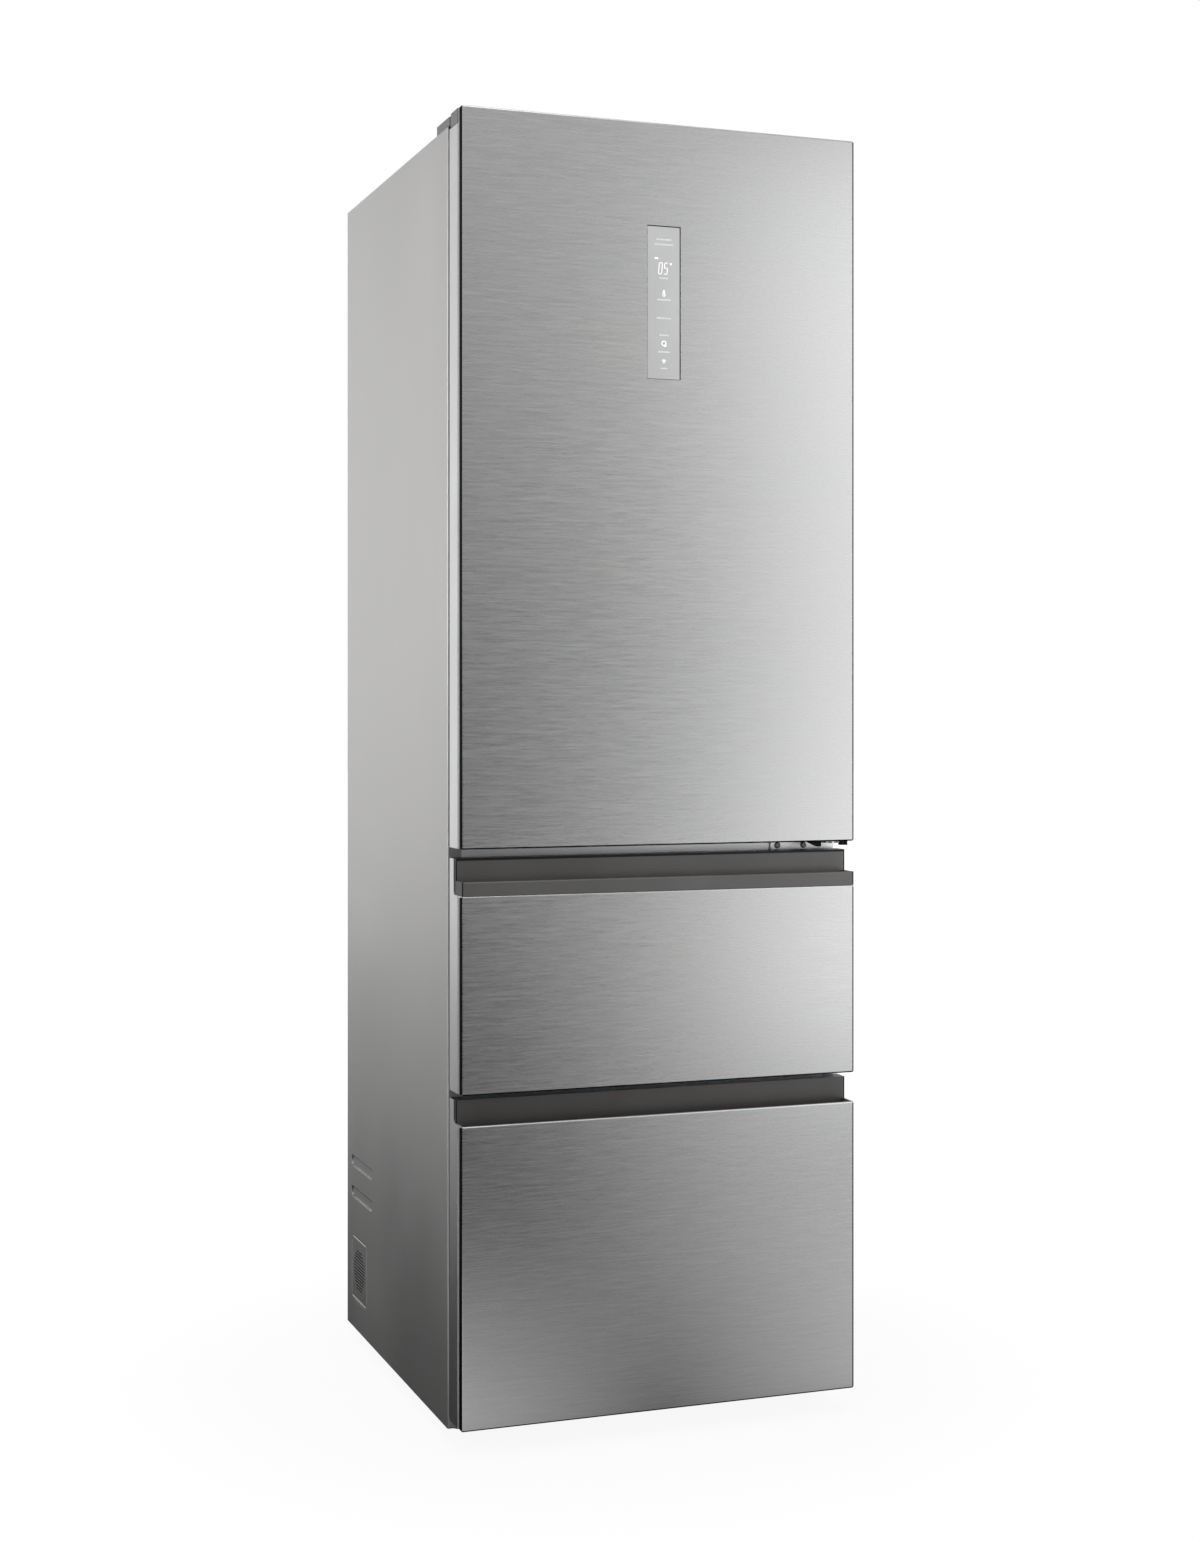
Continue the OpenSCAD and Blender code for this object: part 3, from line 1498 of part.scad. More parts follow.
module door_frame() {
    cap_z = door_z1 - cap_h;
    side = half_w + past;
    recess_x = hinge_x - arm_w / 2 - 2 * notch_fit;
    recess_y = hinge_y - arm_w / 2 - 3 * notch_fit;
    color("lightgray") union() {
        difference() {
            front_core([door_z0, door_z1]);
            box([-side, side], [door_back_y - cap_back, door_back_y + past], [cap_z, door_z1 + past]);
            difference() {
                box([-side, side], [front_y + reveal_d, door_back_y + past], [cap_z - groove_h, cap_z]);
                box([-half_w + groove, half_w - groove], [front_y, door_back_y - groove],
                    [cap_z - groove_h - past, cap_z + past]);
            }
            box([recess_x, side], [recess_y, door_back_y + past], [recess_z, door_z1 + past]);
            for (z = [recess_z - pin_l - 2 * past, door_z0 - past])
                translate([hinge_x, hinge_y, z]) cylinder(h = pin_l + 3 * past, r = pin_r + pin_fit);
            display_hole([front_y, front_y + display_t]);
        }
        door_stop();
    }
}

module display_panel() {
    color("black") carry([front_y, front_y + display_t],
        rrect(about(0, display_w), display_z, display_r));
}

door_seal_z = [door_z0 + seal_edge, cab_z1 - flange_w];
middle_seal_z = [middle_z0 + seal_edge, rail_z - partition_t / 2 + seal_lap];
bottom_seal_z = [bottom_z[0] - seal_lap, lower_rail_z - partition_t / 2 + seal_lap];

// Seal: a base strip with a narrower bulb behind it, all round
module seal(z) {
    x = half_w - seal_in;
    strip = door_back_y + seal_base;
    inside = seal_w - bulb_in;
    color("dimgray") union() {
        difference() {
            carry([door_back_y, strip], rrect([-x, x], z, seal_r));
            carry([door_back_y - past, strip + past],
                rrect([-x + seal_w, x - seal_w], shrink(z, seal_w), seal_r / 2));
        }
        difference() {
            carry([strip - lap, face_y - seal_fit],
                rrect([-x + bulb_in, x - bulb_in], shrink(z, bulb_in), seal_r - bulb_in));
            carry([strip - past, face_y],
                rrect([-x + inside, x - inside], shrink(z, inside), seal_r / 2 + bulb_in));
        }
    }
}

module door_gasket() {
    seal(door_seal_z);
}

dyke_x = [half_w - dyke_in - dyke_w, half_w - dyke_in];
dyke_z = shrink(fridge_z, dyke_end);
bin_y0 = door_back_y + liner_plate_t;
door_bin_zs = [for (i = [0:2]) dyke_z[0] + door_bin_rise + i * door_bin_step];

module door_liner() {
    x = half_w - seal_in - seal_w - past;
    front = bin_y0 + dyke_d - dyke_r;
    color("white") union() {
        carry([door_back_y, bin_y0], rrect([-x, x], shrink(door_seal_z, seal_w + past), seal_r / 2));
        both_sides() rise(dyke_z, concat([[dyke_x[1], bin_y0 - past], [dyke_x[0], bin_y0 - past]],
            arc(dyke_x[0] + dyke_r, front, dyke_r, 180, 90),
            arc(dyke_x[1] - dyke_r, front, dyke_r, 90, 0)));
        both_sides() for (z = door_bin_zs)
            box([dyke_x[0] - peg_w, dyke_x[0] + past], [bin_y0 + 2 * dyke_r, bin_y0 + 2 * dyke_r + peg_d],
                [z - peg_h, z]);
    }
}

// Tray between the door liner's side walls, with a bar along its front edge
module door_bin(z, h) {
    x = dyke_x[0] - door_bin_fit;
    front = bin_y0 + door_bin_d;
    color("azure", 0.6) union() {
        tub([-x, x], [bin_y0, front], [z, z + h]);
        box([-x + bin_r, x - bin_r], [front - past, front + bin_t], [z + h - bar_h, z + h]);
    }
}

module door_bin_lower() {
    door_bin(door_bin_zs[0], bottle_bin_h);
}

module door_bin_middle() {
    door_bin(door_bin_zs[1], door_bin_h);
}

module door_bin_upper() {
    door_bin(door_bin_zs[2], door_bin_h);
}

// Freezer drawers

grip_back = front_y + grip_d + grip_t;

grip_x = half_w - skin_t - grip_end_t;

// Side outline of a grip's end, with its lower rear corner rounded
function grip_end(steel_top, top) = let (rear = front_y + grip_d + grip_end_back)
    concat([[front_y, steel_top]], arc(rear - grip_r, steel_top + grip_r, grip_r, 270, 360),
        [[rear, top], [front_y, top]]);

// Frame of a drawer: full depth up to the grip, then only behind and beside it
module drawer_frame(z0, steel_top, top) {
    color("lightgray") difference() {
        front_core([z0, top]);
        box([-grip_x, grip_x], [front_y, grip_back], [steel_top - grip_drop - grip_t, top + past]);
        both_sides() spread([grip_x - lap, half_w + past], grip_end(steel_top, top + past));
    }
}

// Side outline of a grip: front lip, finger channel and rear wall
function grip_outline(steel_top, lip, top) = let (
        under = steel_top - grip_drop - grip_t, low = steel_top - grip_drop,
        lip_y = front_y + grip_lip_t, wall_y = front_y + grip_d, r = grip_r, q = lip_r)
    concat([[grip_back, under], [grip_back, top], [wall_y, top]],
        arc(wall_y - r, low + r, r, 360, 270), arc(lip_y + r, low + r, r, 270, 180),
        arc(lip_y - q, steel_top + lip - q, q, 0, 90),
        lip > 0 ? concat(arc(front_y + q, steel_top + lip - q, q, 90, 180),
            [[front_y, steel_top], [front_y + skin_t, steel_top]]) : [[front_y + skin_t, steel_top]],
        [[front_y + skin_t, under]]);

module grip(steel_top, lip, top) {
    color("dimgray") union() {
        spread([-grip_x, grip_x], grip_outline(steel_top, lip, top));
        both_sides() difference() {
            spread([grip_x - lap, half_w - skin_t], grip_end(steel_top, top));
            box([0, half_w], [front_y - past, front_y + grip_d], [steel_top + lip, top + past]);
        }
    }
}

module middle_front() {
    steel_front([middle_z0, middle_z1], false);
}

module middle_frame() {
    drawer_frame(middle_z0, middle_z1, middle_top);
}

module middle_handle() {
    grip(middle_z1, lip_h, middle_top);
}

module middle_gasket() {
    seal(middle_seal_z);
}

module bottom_front() {
    steel_front([bottom_z0, bottom_z1], false);
}

module bottom_frame() {
    drawer_frame(bottom_z0, bottom_z1, bottom_top);
}

module bottom_handle() {
    grip(bottom_z1, 0, bottom_top);
}

module bottom_gasket() {
    seal(bottom_seal_z);
}

// Freezer bin: a wide rimmed upper part on the runners' ledges, and a narrower well
module freezer_bin(z0, ledge_z, z1, well_back, back) {
    t = bin_t;
    y0 = door_back_y + bin_front;
    rim = bin_wide + rim_w;
    difference() {
        union() {
            rise([z0, ledge_z + past], rrect([-bin_narrow, bin_narrow], [y0, well_back], bin_r));
            rise([ledge_z, z1], rrect([-bin_wide, bin_wide], [y0, back], bin_r));
            rise([z1 - bin_t, z1], rrect([-rim, rim], [y0, back + rim_w], bin_r + rim_w));
        }
        rise([z0 + t, z1 + past],
            rrect([-bin_narrow + t, bin_narrow - t], shrink([y0, well_back], t), bin_r - t));
        rise([ledge_z + t, z1 + past],
            rrect([-bin_wide + t, bin_wide - t], shrink([y0, back], t), bin_r - t));
    }
}

module middle_bin() {
    color("azure", 0.6) freezer_bin(middle_z[0] + liner_t + bin_under,
        middle_runner_z - inner_h / 2 + runner_t, middle_z[1] - liner_t - bin_over, inner_y1, inner_y1);
}

module bottom_bin() {
    color("azure", 0.6) freezer_bin(bottom_z[0] + liner_t + bin_under,
        bottom_runner_z - inner_h / 2 + runner_t, bottom_z[1] - liner_t - bin_over,
        step_y - liner_t - bin_under, inner_y1);
}

side_panel_left();
side_panel_right();
top_panel();
back_panel();
machine_room_deck();
base_plate();
cabinet_foam();
fridge_liner();
middle_liner();
bottom_liner();
centre_rail();
lower_rail();
top_cover();
top_hinge();
middle_hinge();
hinge_screws();
glass_shelves();
shelf_trims();
chill_drawer();
crisper_drawer();
air_duct();
fridge_lamp();
freezer_duct();
evaporator();
evaporator_fan();
compressor();
condenser();
fan_frame();
condenser_fan();
drain_pan();
machine_cover();
side_grille();
cord_gland();
runner_rails();
middle_slides();
bottom_slides();
front_foot_left();
front_foot_right();
rear_roller_left();
rear_roller_right();
door_front();
door_frame();
door_liner();
door_gasket();
display_panel();
door_bin_upper();
door_bin_middle();
door_bin_lower();
middle_front();
middle_frame();
middle_handle();
middle_gasket();
middle_bin();
middle_runners();
bottom_front();
bottom_frame();
bottom_handle();
bottom_gasket();
bottom_bin();
bottom_runners();
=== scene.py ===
from math import pi, radians

import bpy
import numpy as np
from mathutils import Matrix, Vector

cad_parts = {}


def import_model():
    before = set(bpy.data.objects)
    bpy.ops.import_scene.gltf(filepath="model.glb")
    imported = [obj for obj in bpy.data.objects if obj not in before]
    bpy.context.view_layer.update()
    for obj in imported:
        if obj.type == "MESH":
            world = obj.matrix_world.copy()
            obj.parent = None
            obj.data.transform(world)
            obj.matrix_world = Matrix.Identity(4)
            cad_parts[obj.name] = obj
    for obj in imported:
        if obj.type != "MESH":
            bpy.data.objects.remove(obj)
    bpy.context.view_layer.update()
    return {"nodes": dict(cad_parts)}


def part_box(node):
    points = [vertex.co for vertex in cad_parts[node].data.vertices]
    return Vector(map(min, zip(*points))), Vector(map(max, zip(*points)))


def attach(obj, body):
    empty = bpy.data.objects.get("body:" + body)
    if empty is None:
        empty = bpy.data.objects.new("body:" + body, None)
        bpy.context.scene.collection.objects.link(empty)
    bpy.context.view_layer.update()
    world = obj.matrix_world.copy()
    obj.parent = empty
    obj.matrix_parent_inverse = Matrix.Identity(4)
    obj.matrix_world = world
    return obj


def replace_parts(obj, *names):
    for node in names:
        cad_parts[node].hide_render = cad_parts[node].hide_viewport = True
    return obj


# Tall fridge freezer: looks, small finished pieces, lights and camera

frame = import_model()
nodes = frame["nodes"]

# Fronts, in metres: half width, face, back of the door, and the folded sheet
half_w = 0.2975
front_y = -0.3335
door_back_y = -0.276
skin_t = 0.0008
skin_return = 0.010
skin_bend = 0.0021
corner_r = 0.003

# Lower and upper edges of the three fronts
door_z = (0.8315, 1.850)
middle_z = (0.4945, 0.7675)
bottom_z = (0.035, 0.4525)

# Opening for the display, the window in it, and the width of the painted shade in the groove at its
# top and right
opening_x = (-0.0254, 0.0254)
opening_z = (1.4886, 1.7054)
opening_r = 0.0008
glass_x = (-0.025, 0.025)
glass_z = (1.489, 1.705)
glass_y = (front_y + 0.0001, front_y + 0.003)
glass_r = 0.001
groove_shade_right = 0.0012
groove_shade_top = 0.0011

# Side grille: middle of its plate, half its size, its bead, painted light as a painted highlight,
# and the depth where its slots begin, past which they are painted black as painted shade
grille_y = 0.2455
grille_z = 0.118
grille_half = 0.0503
grille_bead = 0.0018
grille_face_x = -0.2971

white = (1.0, 1.0, 1.0, 1.0)


def tone(red, green=None, blue=None):
    """A colour as the eye reads it, each channel from 0 to 255, made linear."""
    channels = np.array([red, red if green is None else green, red if blue is None else blue])
    share = channels / 255
    linear = np.where(channels < 10.3, share / 12.92, ((share + 0.055) / 1.055) ** 2.4)
    return (*linear.tolist(), 1.0)


def toned(tint, factor):
    """A colour made darker or lighter by a factor, with no channel past white."""
    return (*(min(1.0, c * factor) for c in tint[:3]), 1.0)


def feed(tree, socket, value):
    """An input takes another node's output, or a plain value."""
    if isinstance(value, bpy.types.NodeSocket):
        tree.links.new(value, socket)
    else:
        socket.default_value = value


def add(tree, kind, feeds=None, **settings):
    """One node: settings are its own options, and feeds gives inputs a value or another output."""
    node = tree.nodes.new(kind)
    for key, value in settings.items():
        setattr(node, key, value)
    for key, value in (feeds or {}).items():
        feed(tree, node.inputs[key], value)
    return node


def maths(tree, operation, first, second=0.0):
    feeds = {0: first, 1: second}
    return add(tree, "ShaderNodeMath", feeds, operation=operation).outputs["Value"]


def product(tree, first, second):
    return maths(tree, "MULTIPLY", first, second)


def total(tree, first, second):
    return maths(tree, "ADD", first, second)


def greater(tree, first, second):
    return maths(tree, "MAXIMUM", first, second)


def apart(tree, first, second):
    """How far two values lie apart, whichever is the greater."""
    return maths(tree, "ABSOLUTE", maths(tree, "SUBTRACT", first, second))


def between(tree, value, low, high, start=0.3, end=0.7):
    """Runs from low to high while a value runs from start to end, and no further."""
    return add(tree, "ShaderNodeMapRange", {"Value": value, "From Min": start, "From Max": end,
                                            "To Min": low, "To Max": high}).outputs["Result"]


def graded(tree, share, first, second):
    """Two numbers mixed by share."""
    return add(tree, "ShaderNodeMix", {0: share, 2: first, 3: second}).outputs[0]


def mixed(tree, share, first, second, way="MIX"):
    """Two colours mixed by share."""
    return add(tree, "ShaderNodeMix", {0: share, 6: first, 7: second}, data_type="RGBA",
               blend_type=way).outputs[2]


def new_finish(name):
    material = bpy.data.materials.new(name)
    material.use_nodes = True
    tree = material.node_tree
    return material, tree, tree.nodes["Principled BSDF"]


def dress(tree, shader, colour, roughness, normal, metallic=0.0):
    """The three patterns of a finish go to its shader, with how metallic it is all over."""
    tree.links.new(colour, shader.inputs["Base Color"])
    tree.links.new(roughness, shader.inputs["Roughness"])
    tree.links.new(normal, shader.inputs["Normal"])
    shader.inputs["Metallic"].default_value = metallic


def lit(shader, tint, glow):
    shader.inputs["Emission Color"].default_value = tint
    shader.inputs["Emission Strength"].default_value = glow


def placed(tree, scale, shift=(0, 0, 0)):
    """Object coordinates, scaled per axis, so a long cell runs along the axis of small scale."""
    where = add(tree, "ShaderNodeTexCoord").outputs["Object"]
    scale = np.broadcast_to(scale, 3).tolist()
    feeds = {"Vector": where, "Scale": scale, "Location": shift}
    return add(tree, "ShaderNodeMapping", feeds).outputs["Vector"]


def mottle(tree, scale, detail=3.0, roughness=0.55, shift=(0, 0, 0)):
    """Soft irregular noise from 0 to 1 on the object's own coordinates."""
    feeds = {"Vector": placed(tree, scale, shift), "Scale": 1.0, "Detail": detail,
             "Roughness": roughness}
    return add(tree, "ShaderNodeTexNoise", feeds).outputs["Fac"]


def grains(tree, scale):
    """Irregular cells: a colour of its own for each, and the distance from its middle."""
    return add(tree, "ShaderNodeTexVoronoi", {"Vector": placed(tree, scale), "Scale": 1.0,
                                              "Randomness": 1.0}).outputs


def rounded_edges(tree, radius):
    return add(tree, "ShaderNodeBevel", {"Radius": radius}, samples=4).outputs["Normal"]


def edges(tree, radius):
    """Rounded normal over sharp edges, and a mask that is 1 on them. The mask is read from the
    cosine between the rounded normal and the face's own, which is 1 away from an edge."""
    rounded = rounded_edges(tree, radius)
    own = add(tree, "ShaderNodeNewGeometry").outputs["True Normal"]
    cosine = add(tree, "ShaderNodeVectorMath", {0: rounded, 1: own}, operation="DOT_PRODUCT")
    return rounded, between(tree, cosine.outputs["Value"], 1.0, 0.0, 0.86, 0.995)


def worn_rims(tree, edge, scale, low, high):
    """The mask of the edges, stronger and weaker from place to place, as wear is."""
    return product(tree, edge, between(tree, mottle(tree, scale), low, high))


def raised(tree, height, distance, strength, normal=None):
    feeds = {"Height": height, "Distance": distance, "Strength": strength}
    if normal is not None:
        feeds["Normal"] = normal
    return add(tree, "ShaderNodeBump", feeds).outputs["Normal"]


def axis_of(tree, axis):
    where = add(tree, "ShaderNodeTexCoord").outputs["Object"]
    return add(tree, "ShaderNodeSeparateXYZ", {"Vector": where}).outputs[axis]


step_soft = 0.0002


def beyond(tree, axis, level):
    """Mask that is 1 past a level on one axis of the object, and 0 before it."""
    return between(tree, axis_of(tree, axis), 0.0, 1.0, level - step_soft, level + step_soft)


def before(tree, axis, level):
    """Mask that is 1 before a level on one axis of the object, and 0 past it."""
    return between(tree, axis_of(tree, axis), 1.0, 0.0, level - step_soft, level + step_soft)


def brushed_steel(name, tint, rough):
    """Stainless sheet brushed across: long fine lines along X, a few deeper lines, a cloudy tone
    from cool to warm, and bright rims."""
    material, tree, shader = new_finish(name)
    fine = mottle(tree, (26, 26, 1150), 2.0, 0.5)
    deep = mottle(tree, (14, 14, 620), 2.0, 0.5, (3.1, 0, 7.7))
    cloud = mottle(tree, (2.2, 2.2, 5.5), 2.0, 0.5, (1.7, 0, 2.9))
    lines = total(tree, product(tree, fine, 0.75), product(tree, deep, 0.25))
    colour = mixed(tree, between(tree, lines, 0.0, 1.0), toned(tint, 0.93), toned(tint, 1.07))
    cool, warm = (0.975, 0.98, 0.99, 1.0), (1.0, 0.996, 0.99, 1.0)
    clouded = mixed(tree, between(tree, cloud, 0.0, 1.0), cool, warm)
    colour = mixed(tree, 1.0, colour, clouded, "MULTIPLY")
    rounded, edge = edges(tree, 0.0006)
    worn = worn_rims(tree, edge, 60, 0.2, 0.6)
    dress(tree, shader, mixed(tree, worn, colour, tone(226, 227, 228)),
          between(tree, lines, rough - 0.03, rough + 0.05),
          raised(tree, lines, 0.00002, 0.15, rounded), metallic=1.0)
    shader.inputs["Anisotropic"].default_value = 0.35
    return material


def folded_edge(name):
    """Side of the folded sheet, painted near black as a painted dark reflection, with drawn lines
    along its length and a paler worn rim.
    """
    material, tree, shader = new_finish(name)
    lines = mottle(tree, (900, 900, 22))
    colour = mixed(tree, between(tree, lines, 0.0, 1.0), tone(10), tone(20))
    rounded, edge = edges(tree, 0.0003)
    worn = worn_rims(tree, edge, 70, 0.0, 0.12)
    dress(tree, shader, mixed(tree, worn, colour, tone(90)), between(tree, lines, 0.5, 0.6),
          raised(tree, lines, 0.00002, 0.3, rounded))
    shader.inputs["Specular IOR Level"].default_value = 0.02
    return material


def painted_sheet(name, tint, rough, metallic, edge_tone=tone(205), edge_r=0.0007, wear=0.7,
                  overlay=None):
    """Baked paint on sheet: faint orange peel, fine flake, slow change of tone and worn rims."""
    material, tree, shader = new_finish(name)
    peel = mottle(tree, 420, 2.0)
    flake = mottle(tree, 2600, 1.0)
    slow = mottle(tree, (3, 3, 1.6), 3.0, 0.6)
    colour = mixed(tree, between(tree, slow, 0.0, 1.0), toned(tint, 0.93), toned(tint, 1.05))
    speck = mixed(tree, between(tree, flake, 0.0, 1.0), (0.965, 0.965, 0.97, 1.0), white)
    colour = mixed(tree, 1.0, colour, speck, "MULTIPLY")
    rounded, edge = edges(tree, edge_r)
    colour = mixed(tree, worn_rims(tree, edge, 45, wear / 7, wear), colour, edge_tone)
    if overlay:
        colour = overlay(tree, colour)
    dress(tree, shader, colour, between(tree, slow, rough - 0.04, rough + 0.05),
          raised(tree, peel, 0.00004, 0.25, rounded), metallic)
    return material


def moulded_plastic(name, tint, rough, texture=1400.0, depth=0.00005, rims=1.12, edge_r=0.0008,
                    overlay=None, metallic=0.0, glow=0.0):
    """Moulded plastic: eroded grain, a slow flow of tone, and rims worn smoother, whose colour is
    multiplied by rims: above 1 a paler wear, below 1 a painted shade along the rims."""
    material, tree, shader = new_finish(name)
    grain = grains(tree, texture)["Distance"]
    pits = mottle(tree, texture * 0.6, 2.0)
    flow = mottle(tree, (7, 7, 4), 3.0, 0.6)
    colour = mixed(tree, between(tree, flow, 0.0, 1.0), toned(tint, 0.91), toned(tint, 1.07))
    colour = mixed(tree, between(tree, grain, 0.0, 0.10, 0.0, 0.7), colour, white, "OVERLAY")
    if overlay:
        colour = overlay(tree, colour)
    rounded, edge = edges(tree, edge_r)
    # Rims above 1 give a paler wear, rims below 1 a painted shade along the edges.
    rim_wear_and_shade = mixed(tree, 1.0, colour, (rims, rims, rims, 1.0), "MULTIPLY")
    worn = worn_rims(tree, edge, 55, 0.2, 0.9)
    smoother = product(tree, worn, -0.12)
    height = total(tree, product(tree, grain, 0.6), product(tree, pits, 0.4))
    dress(tree, shader, mixed(tree, worn, colour, rim_wear_and_shade),
          total(tree, between(tree, pits, rough - 0.05, rough + 0.06), smoother),
          raised(tree, height, depth, 0.35, rounded), metallic)
    lit(shader, tint, glow)
    return material


def slotted_plate(name, tint):
    """Grille moulding: pearled face with a raised bead along its border, whose crest is painted
    near white as a painted highlight, and matt throats painted black as painted shade in the slots.
    The bead lies where the least distance from the border's four sides is the bead's."""
    material, tree, shader = new_finish(name)
    slow = mottle(tree, 9)
    pits = mottle(tree, 1500, 2.0)
    from_side = [maths(tree, "SUBTRACT", grille_half, apart(tree, axis_of(tree, axis), middle))
                 for axis, middle in (("Y", grille_y), ("Z", grille_z))]
    off_bead = apart(tree, maths(tree, "MINIMUM", *from_side), grille_bead)
    bead = between(tree, off_bead, 1.0, 0.0, 0.0002, grille_bead)
    throat = beyond(tree, "X", grille_face_x)
    face = mixed(tree, between(tree, slow, 0.0, 1.0), toned(tint, 0.93), tint)
    # The bead's crest is mixed to white: a painted highlight.
    face = mixed(tree, product(tree, bead, between(tree, slow, 0.8, 1.0)), face, white)
    matt = total(tree, between(tree, pits, 0.38, 0.46), product(tree, throat, 0.4))
    relief = total(tree, bead, product(tree, pits, 0.03))
    # The throats take a near-black tone: painted shade in the slots.
    dress(tree, shader, mixed(tree, throat, face, tone(5)), matt,
          raised(tree, relief, 0.0012, 0.8, rounded_edges(tree, 0.0004)))
    tree.links.new(between(tree, throat, 0.75, 0.0, 0.0, 1.0), shader.inputs["Metallic"])
    return material


def galvanised(name):
    """Hot dipped zinc: angular spangles of slightly different grey, dull spots and bright rims."""
    material, tree, shader = new_finish(name)
    tint = tone(172, 174, 177)
    own_shade = grains(tree, 95)["Color"]
    spangle = add(tree, "ShaderNodeSeparateXYZ", {"Vector": own_shade}).outputs["X"]
    dull = mottle(tree, 14, 4.0)
    colour = mixed(tree, between(tree, spangle, 0.0, 1.0, 0.0, 1.0), toned(tint, 0.78), tint)
    colour = mixed(tree, between(tree, dull, 0.0, 0.35), colour, tone(140, 141, 142))
    rounded, edge = edges(tree, 0.0006)
    dress(tree, shader, mixed(tree, product(tree, edge, 0.4), colour, tone(205)),
          between(tree, spangle, 0.34, 0.52, 0.0, 1.0), raised(tree, dull, 0.0001, 0.2, rounded),
          metallic=0.85)
    return material


def drawn_steel(name, tint, along="Y", rough=0.3):
    """Plated steel drawn through rollers: fine lines along an axis, clouded plating, pale rims."""
    material, tree, shader = new_finish(name)
    lines = mottle(tree, [16.0 if axis == along else 1300.0 for axis in "XYZ"])
    cloud = mottle(tree, 18)
    colour = mixed(tree, between(tree, lines, 0.0, 1.0), toned(tint, 0.8), tint)
    colour = mixed(tree, between(tree, cloud, 0.0, 0.25), colour, tone(150, 148, 140))
    rounded, edge = edges(tree, 0.0004)
    dress(tree, shader, mixed(tree, product(tree, edge, 0.5), colour, tone(225)),
          between(tree, lines, rough - 0.06, rough + 0.08),
          raised(tree, lines, 0.00002, 0.3, rounded), metallic=1.0)
    return material


def cast_rubber(name, tint):
    """Extruded vinyl or rubber: fine speckle, a slow bloom and darker rims."""
    material, tree, shader = new_finish(name)
    speckle = mottle(tree, 500)
    bloom = mottle(tree, (24, 24, 10), 4.0)
    dark = toned(tint, 0.8)
    colour = mixed(tree, between(tree, bloom, 0.0, 1.0), dark, toned(tint, 1.12))
    rounded, edge = edges(tree, 0.0006)
    dress(tree, shader, mixed(tree, product(tree, edge, 0.3), colour, dark),
          between(tree, bloom, 0.54, 0.68), raised(tree, speckle, 0.00006, 0.3, rounded))
    return material


def clear_sheet(name, tint, rough, ripple=0.00003):
    """Clear pane or moulding: faint tint, a soft ripple, fine scuffs that spread the gloss."""
    material, tree, shader = new_finish(name)
    wave = mottle(tree, 26, 2.0)
    scuff = mottle(tree, (160, 20, 160), 5.0, 0.7)
    dress(tree, shader, mixed(tree, between(tree, wave, 0.0, 1.0), tint, toned(tint, 1.04)),
          between(tree, scuff, rough, rough + 0.10, 0.55, 0.8),
          raised(tree, wave, ripple, 0.2, rounded_edges(tree, 0.0006)))
    shader.inputs["Transmission Weight"].default_value = 0.92
    shader.inputs["IOR"].default_value = 1.45
    return material


def set_foam(name):
    """Poured foam: yellowish, with small open cells and darker pits."""
    material, tree, shader = new_finish(name)
    cell = grains(tree, 700)["Distance"]
    blotch = mottle(tree, 20, 4.0)
    colour = mixed(tree, between(tree, blotch, 0.0, 1.0), tone(214, 192, 138), tone(228, 212, 166))
    colour = mixed(tree, between(tree, cell, 0.35, 0.0, 0.0, 0.5), colour, tone(150, 124, 74))
    dress(tree, shader, colour, between(tree, blotch, 0.8, 0.95), raised(tree, cell, 0.0004, 0.5))
    return material


def display_glass(name):
    """Silvered display window: even pale grey with faint dust, and a painted shade along the groove
    at its top and at its right."""
    material, tree, shader = new_finish(name)
    slow = mottle(tree, (12, 12, 5), 2.0)
    dust = mottle(tree, 1800, 2.0)
    colour = mixed(tree, between(tree, slow, 0.0, 1.0), tone(222, 223, 223), tone(228, 229, 229))
    colour = mixed(tree, between(tree, dust, 0.0, 0.10, 0.55, 0.75), colour, tone(240))
    rounded, edge = edges(tree, 0.0004)
    # The strips at the top and at the right take a near-black tone: painted shade in the groove.
    joint = greater(tree, beyond(tree, "X", glass_x[1] - groove_shade_right),
                    beyond(tree, "Z", glass_z[1] - groove_shade_top))
    colour = mixed(tree, joint, colour, tone(16))
    dress(tree, shader, mixed(tree, product(tree, edge, 0.3), colour, tone(215)),
          between(tree, slow, 0.30, 0.38), raised(tree, slow, 0.00002, 0.1, rounded), metallic=0.8)
    return material


def printed(name, tint, glow):
    """Marks of the display: even ink with a little speckle and a slight relief, lit from behind."""
    material, tree, shader = new_finish(name)
    speckle = mottle(tree, 3000, 2.0)
    dress(tree, shader, mixed(tree, between(tree, speckle, 0.0, 1.0), toned(tint, 0.93), tint),
          between(tree, speckle, 0.45, 0.55), raised(tree, speckle, 0.00001, 0.3))
    lit(shader, tint, glow)
    return material


# Finishes that change with the place on one moulding
def cap_and_stop(tree, colour):
    """The cap above the parting groove is darker, and the stop under the door is black."""
    groove_z, cap_front_y, stop_top_z = 1.8295, -0.3157, 0.8312
    cap = product(tree, beyond(tree, "Z", groove_z), beyond(tree, "Y", cap_front_y))
    capped = mixed(tree, cap, colour, tone(113, 114, 115))
    return mixed(tree, before(tree, "Z", stop_top_z), capped, tone(20))


def painted_shade_tops(tree, colour):
    """The drawer frames' top faces behind the grips are painted black: painted shade in the gaps
    behind the grips.
    """
    bottom_top, middle_top_z = (0.4836, 0.4850), 0.8170
    low = product(tree, beyond(tree, "Z", bottom_top[0]), before(tree, "Z", bottom_top[1]))
    return mixed(tree, greater(tree, low, beyond(tree, "Z", middle_top_z)), colour, tone(12))


